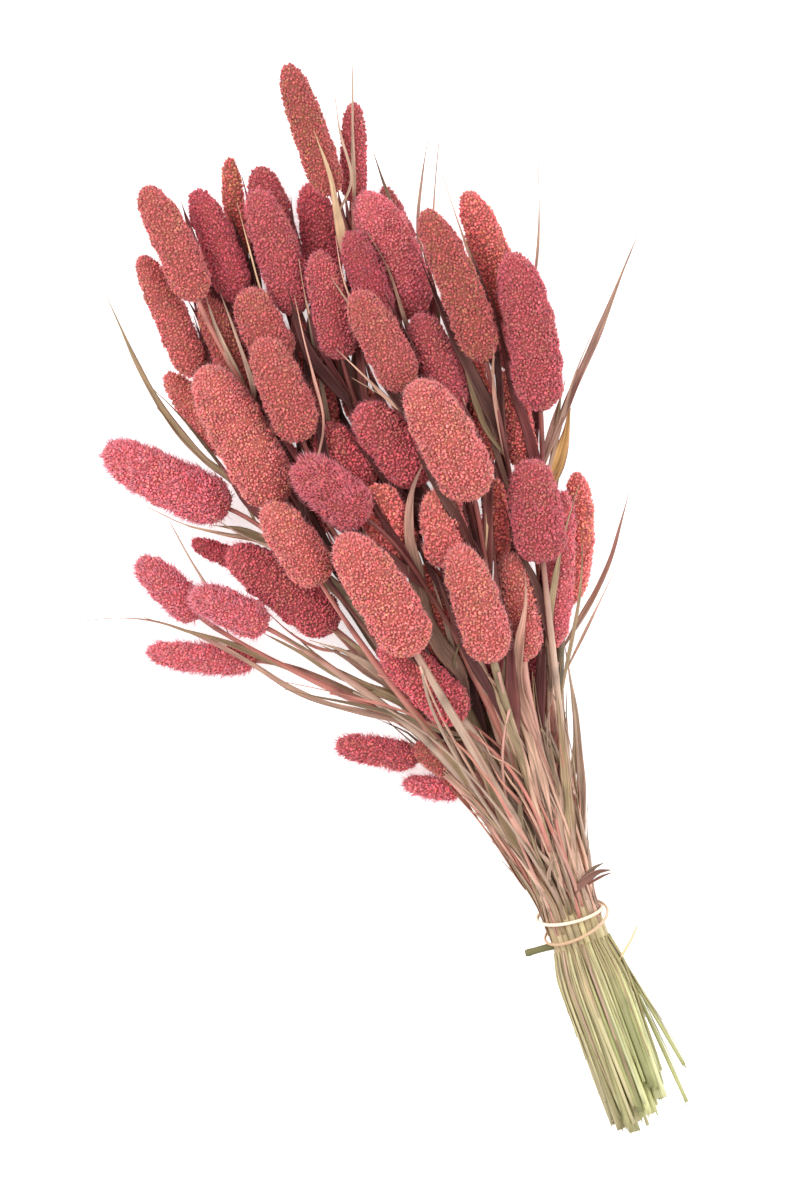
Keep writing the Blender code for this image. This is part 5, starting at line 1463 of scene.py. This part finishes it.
def add_sheaths(shape, stalks, random):
    """Old leaf sheaths that cling to the stems in the neck, from the tie to where the bunch fans out."""
    outer = outer_stalks(stalks)
    for turn in range(SHEATH_COUNT):
        stalk = outer[turn % len(outer)]
        other = neighbour(stalk, outer, SHEATH_REACH, random)
        low = random.uniform(*(SHEATH_STARTS[0] if turn % 5 < 2 else SHEATH_STARTS[1]))
        high = min(low + random.uniform(*SHEATH_LENGTHS), stalk.stem[-1, 1], other.stem[-1, 1])
        along = np.arange(low, high, SHEATH_PITCH)
        if len(along) < FEWEST_STEPS:
            continue
        one, two = stems_at([stalk, other], along)
        middle = stems_at(stalks, along).mean(axis=0)
        layer = SHEATH_LIFT + 0.7 * (turn % 3)
        lift = np.interp(along, SWELL_ZONE, (STEM_RADIUS + 0.1, NECK_STEM_RADIUS + layer))
        lift = lift + random.uniform(*SHEATH_ENDS) * np.linspace(0, 1, len(along)) ** 3
        tone = pick(random, NECK_TONES)
        add_sheath(shape, one, two, middle, along, lift, tone, random)


def add_lower_sheaths(shape, random):
    """Thin strips of sheath round the stems below the tie."""
    outer = outer_slots()
    for turn in range(LOWER_SHEATH_COUNT):
        index = turn % len(outer)
        slot = outer[index]
        points = evenly(lower_end(index, slot)[::-1], SHEATH_PITCH)
        points = points[: int(random.uniform(*LOWER_SHEATH_SHARES) * len(points))]
        out = unit(np.array([slot[0], 0.0, slot[1]]))
        share = np.linspace(0, 1, len(points))
        middles = points + out * (STEM_RADIUS + 0.15 + random.uniform(0, 1.2) * share**4)[:, None]
        widest = random.uniform(*LOWER_SHEATH_HALF_WIDTHS)
        half = widest * np.interp(share, (0, 0.2, 0.8, 1), (0.8, 1, 0.9, 0.2))
        roll = roll_on(middles, out)
        tone = pick(random, LOWER_TONES)
        twist = random.uniform(-0.3, 0.3)
        add_leaf(shape, middles, half, roll, tone, random, curl=LOWER_SHEATH_CURL, twist=twist)


def crowd(stalk, stalks):
    """How many other heads lie close to this one, seen from above."""
    middle = stalk.head[HEAD_BEADS // 2, :2]
    gaps = [math.dist(middle, other.head[HEAD_BEADS // 2, :2]) for other in stalks]
    return sum(gap < CROWD_REACH for gap in gaps) - 1


def among_heads(points, stalk, stalks):
    """Whether each point, seen from above, lies on or close beside a head other than the stalk's own."""
    middles, radii = head_balls([other for other in stalks if other is not stalk])
    gap = np.linalg.norm(points[:, None, :2] - middles[:, :2], axis=2) - radii
    return (gap.min(axis=1) < FLAG_LEAF_GAP).all()


def slipped_between(middles, half, balls, radii):
    """Moves a leaf's middle line out of the heads that it meets."""
    middles = middles.copy()
    everyone = np.arange(len(middles))
    for _ in range(FLAG_LEAF_ROUNDS):
        middles[1:-1] += 0.3 * ((middles[2:] + middles[:-2]) / 2 - middles[1:-1])
        gap = middles[:, None] - balls
        length = np.linalg.norm(gap, axis=2)
        short = radii + 0.4 * half[:, None] - length
        worst = short.argmax(axis=1)
        depth = np.maximum(short[everyone, worst], 0) / length[everyone, worst]
        middles[1:] += (gap[everyone, worst] * depth[:, None])[1:]
        middles[:, 2] = np.maximum(middles[:, 2], FLAT_SPOT + 1)
    return middles


def add_flag_leaf(shape, path, balls, radii, random):
    middles = evenly(path, FLAG_LEAF_PITCH)
    share = np.linspace(0, 1, len(middles))
    half = random.uniform(*FLAG_LEAF_HALF_WIDTHS) * np.interp(share, (0, 0.25, 0.75, 1), (0.4, 1, 0.85, 0.15))
    middles = slipped_between(middles, half, balls, radii)
    roll = random.uniform(-0.6, 0.6) + 0.4 * np.sin(4 * share)
    tone = pick(random, FLAG_TONES)
    add_leaf(shape, middles, half, roll, tone, random, twist=random.uniform(-0.6, 0.6), pitch=STRAND_PITCH)


def add_flag_leaves(stalks, origin, material):
    """The leaf below each head in the crowd: it lies in the gap beside the head, dark in tone as painted
    shade.
    """
    random = np.random.default_rng(FLAG_LEAF_DRAWS)
    shape = Shape()
    balls, radii = head_balls(stalks)
    crowded = [stalk for stalk in stalks if crowd(stalk, stalks) >= CROWD_LEAST]
    for stalk in crowded:
        stem = evenly(stalk.stem, FLAG_LEAF_PITCH)
        stem = stem[np.linalg.norm(stem - stem[-1], axis=1) < FLAG_LEAF_ROOT]
        level, upright = frames(stalk.head)
        for side in (-1, 1):
            across = level * side * (stalk.radius + 2.5)
            beside = stalk.head + across - upright * random.uniform(0.3, 0.9) * stalk.radius
            if among_heads(beside[1:-1], stalk, stalks):
                path = np.vstack([stem[: len(stem) // 2 + 1], beside[1 : 4 + int(random.integers(4))]])
                add_flag_leaf(shape, path, balls, radii, random)
    return shape.finish("flag_leaves", origin, material, "stems_and_leaves", "leafy_stems")


def add_blades(shape, blades, stalks, balls, twists, pitch, random):
    """Blades, each twisted by up to the first twist where it grows on a stalk, or the second on the neck."""
    for index, blade in enumerate(blades):
        made = Blade(index, stalks, *balls, *blade)
        most = twists[0] if blade[0] in stalks else twists[1]
        twist = random.uniform(-most, most)
        add_leaf(shape, made.middles, made.half, made.roll, made.tone, random, twist=twist, pitch=pitch)


def add_leaves(stalks, origin, material):
    random = np.random.default_rng(LEAF_DRAWS)
    everyone = list(stalks.values())
    balls = head_balls(everyone), stem_balls(everyone)
    shape = Shape()
    add_blades(shape, BLADES, stalks, balls, BLADE_TWISTS, LEAF_PITCH, random)
    add_blades(shape, STRANDS, stalks, balls, STRAND_TWISTS, STRAND_PITCH, random)
    add_sheaths(shape, everyone, random)
    add_lower_sheaths(shape, random)
    return shape.finish("leaves", origin, material, "stems_and_leaves", "leafy_stems")


def add_band(origin, material):
    """The rubber band, a little flattened where it is stretched round the stems."""
    around = np.linspace(0, 4 * math.pi, BAND_POINTS, endpoint=False)
    path = band_path(around)
    way = unit(band_path(around + 0.01) - band_path(around - 0.01))
    out = path - (0, 0, TIE_HEIGHT)
    out[:, 1] = 0
    across = unit(np.cross(way, out))
    turn = 0.5 + 0.5 * np.cos(around / 2)
    flat = (BAND_STRETCH + (1 - BAND_STRETCH) * turn) * (1 + 0.1 * np.sin(1.5 * around))
    wide, high = BAND_SECTION
    ring = circles(wide * across, high * np.cross(across, way), BAND_SIDES)
    skin = path[:, None] + BAND_RADIUS * flat[:, None, None] * ring
    thick, thin = (colour(tone) for tone in BAND_TONES)
    tints = np.repeat(mixed(thin, thick, turn), BAND_SIDES, axis=0)
    shape = Shape()
    shape.add(skin, strip_faces(BAND_POINTS, BAND_SIDES, closed=True), tints)
    return shape.finish("rubber_band", origin, material, "tie_band", "tie")


class Paint:
    """A material in the making. Its tint starts as the mesh's own, and shade makes it lighter or darker."""

    def __init__(self, name, finish):
        self.material = bpy.data.materials.new(name)
        self.material.use_nodes = True
        self.tree = self.material.node_tree
        self.shader = self.tree.nodes["Principled BSDF"]
        self.wire(self.shader, finish)
        self.tint = self.attribute("tint", "Color")

    def wire(self, node, inputs):
        """Links the inputs that are given another node's output, and sets those that are given a value."""
        for name, value in inputs.items():
            if isinstance(value, bpy.types.NodeSocket):
                self.tree.links.new(value, node.inputs[name])
            else:
                node.inputs[name].default_value = value

    def node(self, kind, output, inputs):
        made = self.tree.nodes.new(kind)
        self.wire(made, inputs)
        return made.outputs[output]

    def attribute(self, name, output):
        made = self.tree.nodes.new("ShaderNodeAttribute")
        made.attribute_name = name
        return made.outputs[output]

    def place(self):
        return self.node("ShaderNodeTexCoord", "Object", {})

    def fibres(self, scales):
        """The fibre attribute, in millimetres, scaled so that a noise on it makes lengthwise streaks."""
        across, along = scales
        fibre = self.attribute("fibre", "Vector")
        return self.node("ShaderNodeMapping", "Vector", {"Vector": fibre, "Scale": (across, along, across)})

    def noise(self, vector, scale=1.0, detail=2.0):
        return self.node("ShaderNodeTexNoise", "Fac", {"Vector": vector, "Scale": scale, "Detail": detail})

    def in_range(self, value, span):
        """The value of a noise, moved to the span."""
        low, high = NOISE_SPAN
        limits = {"From Min": low, "From Max": high, "To Min": span[0], "To Max": span[1]}
        return self.node("ShaderNodeMapRange", "Result", {"Value": value, **limits})

    def shade(self, value, lights):
        light = self.in_range(value, lights)
        self.tint = self.node("ShaderNodeHueSaturation", "Color", {"Color": self.tint, "Value": light})

    def finish(self, height, depth):
        """The material, with the tint as its colour and a relief of the given depth in metres."""
        relief = self.node("ShaderNodeBump", "Normal", {"Height": height, "Distance": depth})
        self.wire(self.shader, {"Base Color": self.tint, "Normal": relief})
        return self.material


def seed_material():
    paint = Paint("dyed_seeds", SEED_FINISH)
    place = paint.place()
    grain = paint.node("ShaderNodeTexVoronoi", "Distance", {"Vector": place, "Scale": SEED_GRAIN})
    paint.shade(grain, SEED_GRAIN_LIGHTS)
    paint.shade(paint.noise(place, SEED_MOTTLE), SEED_MOTTLE_LIGHTS)
    return paint.finish(paint.in_range(grain, (1.0, 0.0)), SEED_RELIEF)


def leaf_material():
    paint = Paint("dried_leaf", LEAF_FINISH)
    streaks = paint.noise(paint.fibres(LEAF_STREAKS), detail=4.0)
    paint.shade(streaks, LEAF_STREAK_LIGHTS)
    paint.shade(paint.noise(paint.fibres(LEAF_BLOTCHES)), LEAF_BLOTCH_LIGHTS)
    return paint.finish(streaks, LEAF_RELIEF)


def straw_material():
    paint = Paint("dried_stem", STRAW_FINISH)
    streaks = paint.noise(paint.fibres(STRAW_STREAKS), detail=3.0)
    paint.shade(streaks, STRAW_STREAK_LIGHTS)
    paint.shade(paint.noise(paint.fibres(STRAW_BLOTCHES)), STRAW_BLOTCH_LIGHTS)
    return paint.finish(streaks, STRAW_RELIEF)


def rubber_material():
    paint = Paint("band_rubber", RUBBER_FINISH)
    place = paint.place()
    paint.shade(paint.noise(place, RUBBER_MOTTLE), RUBBER_LIGHTS)
    return paint.finish(paint.noise(place, RUBBER_GRAIN), RUBBER_RELIEF)


def add_floor():
    """A plain pale floor that the light washes out to near white, as in the photo."""
    bpy.ops.mesh.primitive_plane_add(size=FLOOR_SIZE, location=(0, 0, FLOOR_DROP))
    floor = bpy.context.object
    floor.name = "floor"
    paint = Paint("pale_floor", FLOOR_FINISH)
    floor.data.materials.append(paint.material)


def add_light(name, place, power):
    lamp = bpy.data.lights.new(name, "AREA")
    lamp.energy = power
    lamp.size = KEY_SIZE
    light = add_object(name, lamp)
    light.location = place
    light.rotation_mode = "QUATERNION"
    light.rotation_quaternion = light.location.normalized().to_track_quat("Z", "Y")


def light_scene():
    world = bpy.data.worlds.new("studio")
    world.use_nodes = True
    background = world.node_tree.nodes["Background"]
    background.inputs["Color"].default_value = SKY_COLOUR
    background.inputs["Strength"].default_value = SKY_STRENGTH
    bpy.context.scene.world = world
    add_light("key_light", KEY_PLACE, KEY_POWER)
    add_light("fill_light", FILL_PLACE, FILL_POWER)
    bpy.context.scene.view_settings.view_transform = "Standard"


def add_camera(origin):
    """Straight over the bunch, turned so that it leans in the frame as it does in the photo."""
    lens = bpy.data.cameras.new("camera")
    lens.sensor_width = SENSOR
    lens.lens = SENSOR * CAMERA_HEIGHT / (PHOTO_SIZE[1] * MM_PER_PIXEL * MM)
    lens.clip_end = 50.0
    camera = add_object("camera", lens)
    across, along = plan((PHOTO_SIZE[0] / 2, PHOTO_SIZE[1] / 2)) - origin[:2]
    camera.location = (across * MM, along * MM, CAMERA_HEIGHT)
    camera.rotation_euler = (0.0, 0.0, -LEAN)
    bpy.context.scene.camera = camera


def frame_origin():
    """The row frame's origin in the layout: the CAD model is centred, and the layout starts at the tie."""
    low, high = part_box("tie")
    points = band_path(np.linspace(0, 4 * math.pi, 32, endpoint=False))
    shift = (np.array(low) + np.array(high)) / 2 / MM - (points.min(axis=0) + points.max(axis=0)) / 2
    return np.array([-shift[0], -shift[1], FLAT_SPOT])


def build_scene():
    for startup in list(bpy.data.objects):
        bpy.data.objects.remove(startup)
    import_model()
    cad_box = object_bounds()
    origin = frame_origin()
    stalks = {name: Stalk(name, *place) for name, place in HEADS.items()}
    everyone = list(stalks.values())
    bare_slots = give_slots(everyone)
    settle(everyone)
    seeds = seed_material()
    top = max(corner[2] for corner in cad_box) / MM + origin[2]
    for index, stalk in enumerate(everyone):
        add_head(index, stalk, origin, seeds, top)
    add_stems(everyone, bare_slots, origin, straw_material())
    leaf = leaf_material()
    add_leaves(stalks, origin, leaf)
    add_flag_leaves(everyone, origin, leaf)
    add_band(origin, rubber_material())
    add_floor()
    light_scene()
    add_camera(origin)


build_scene()
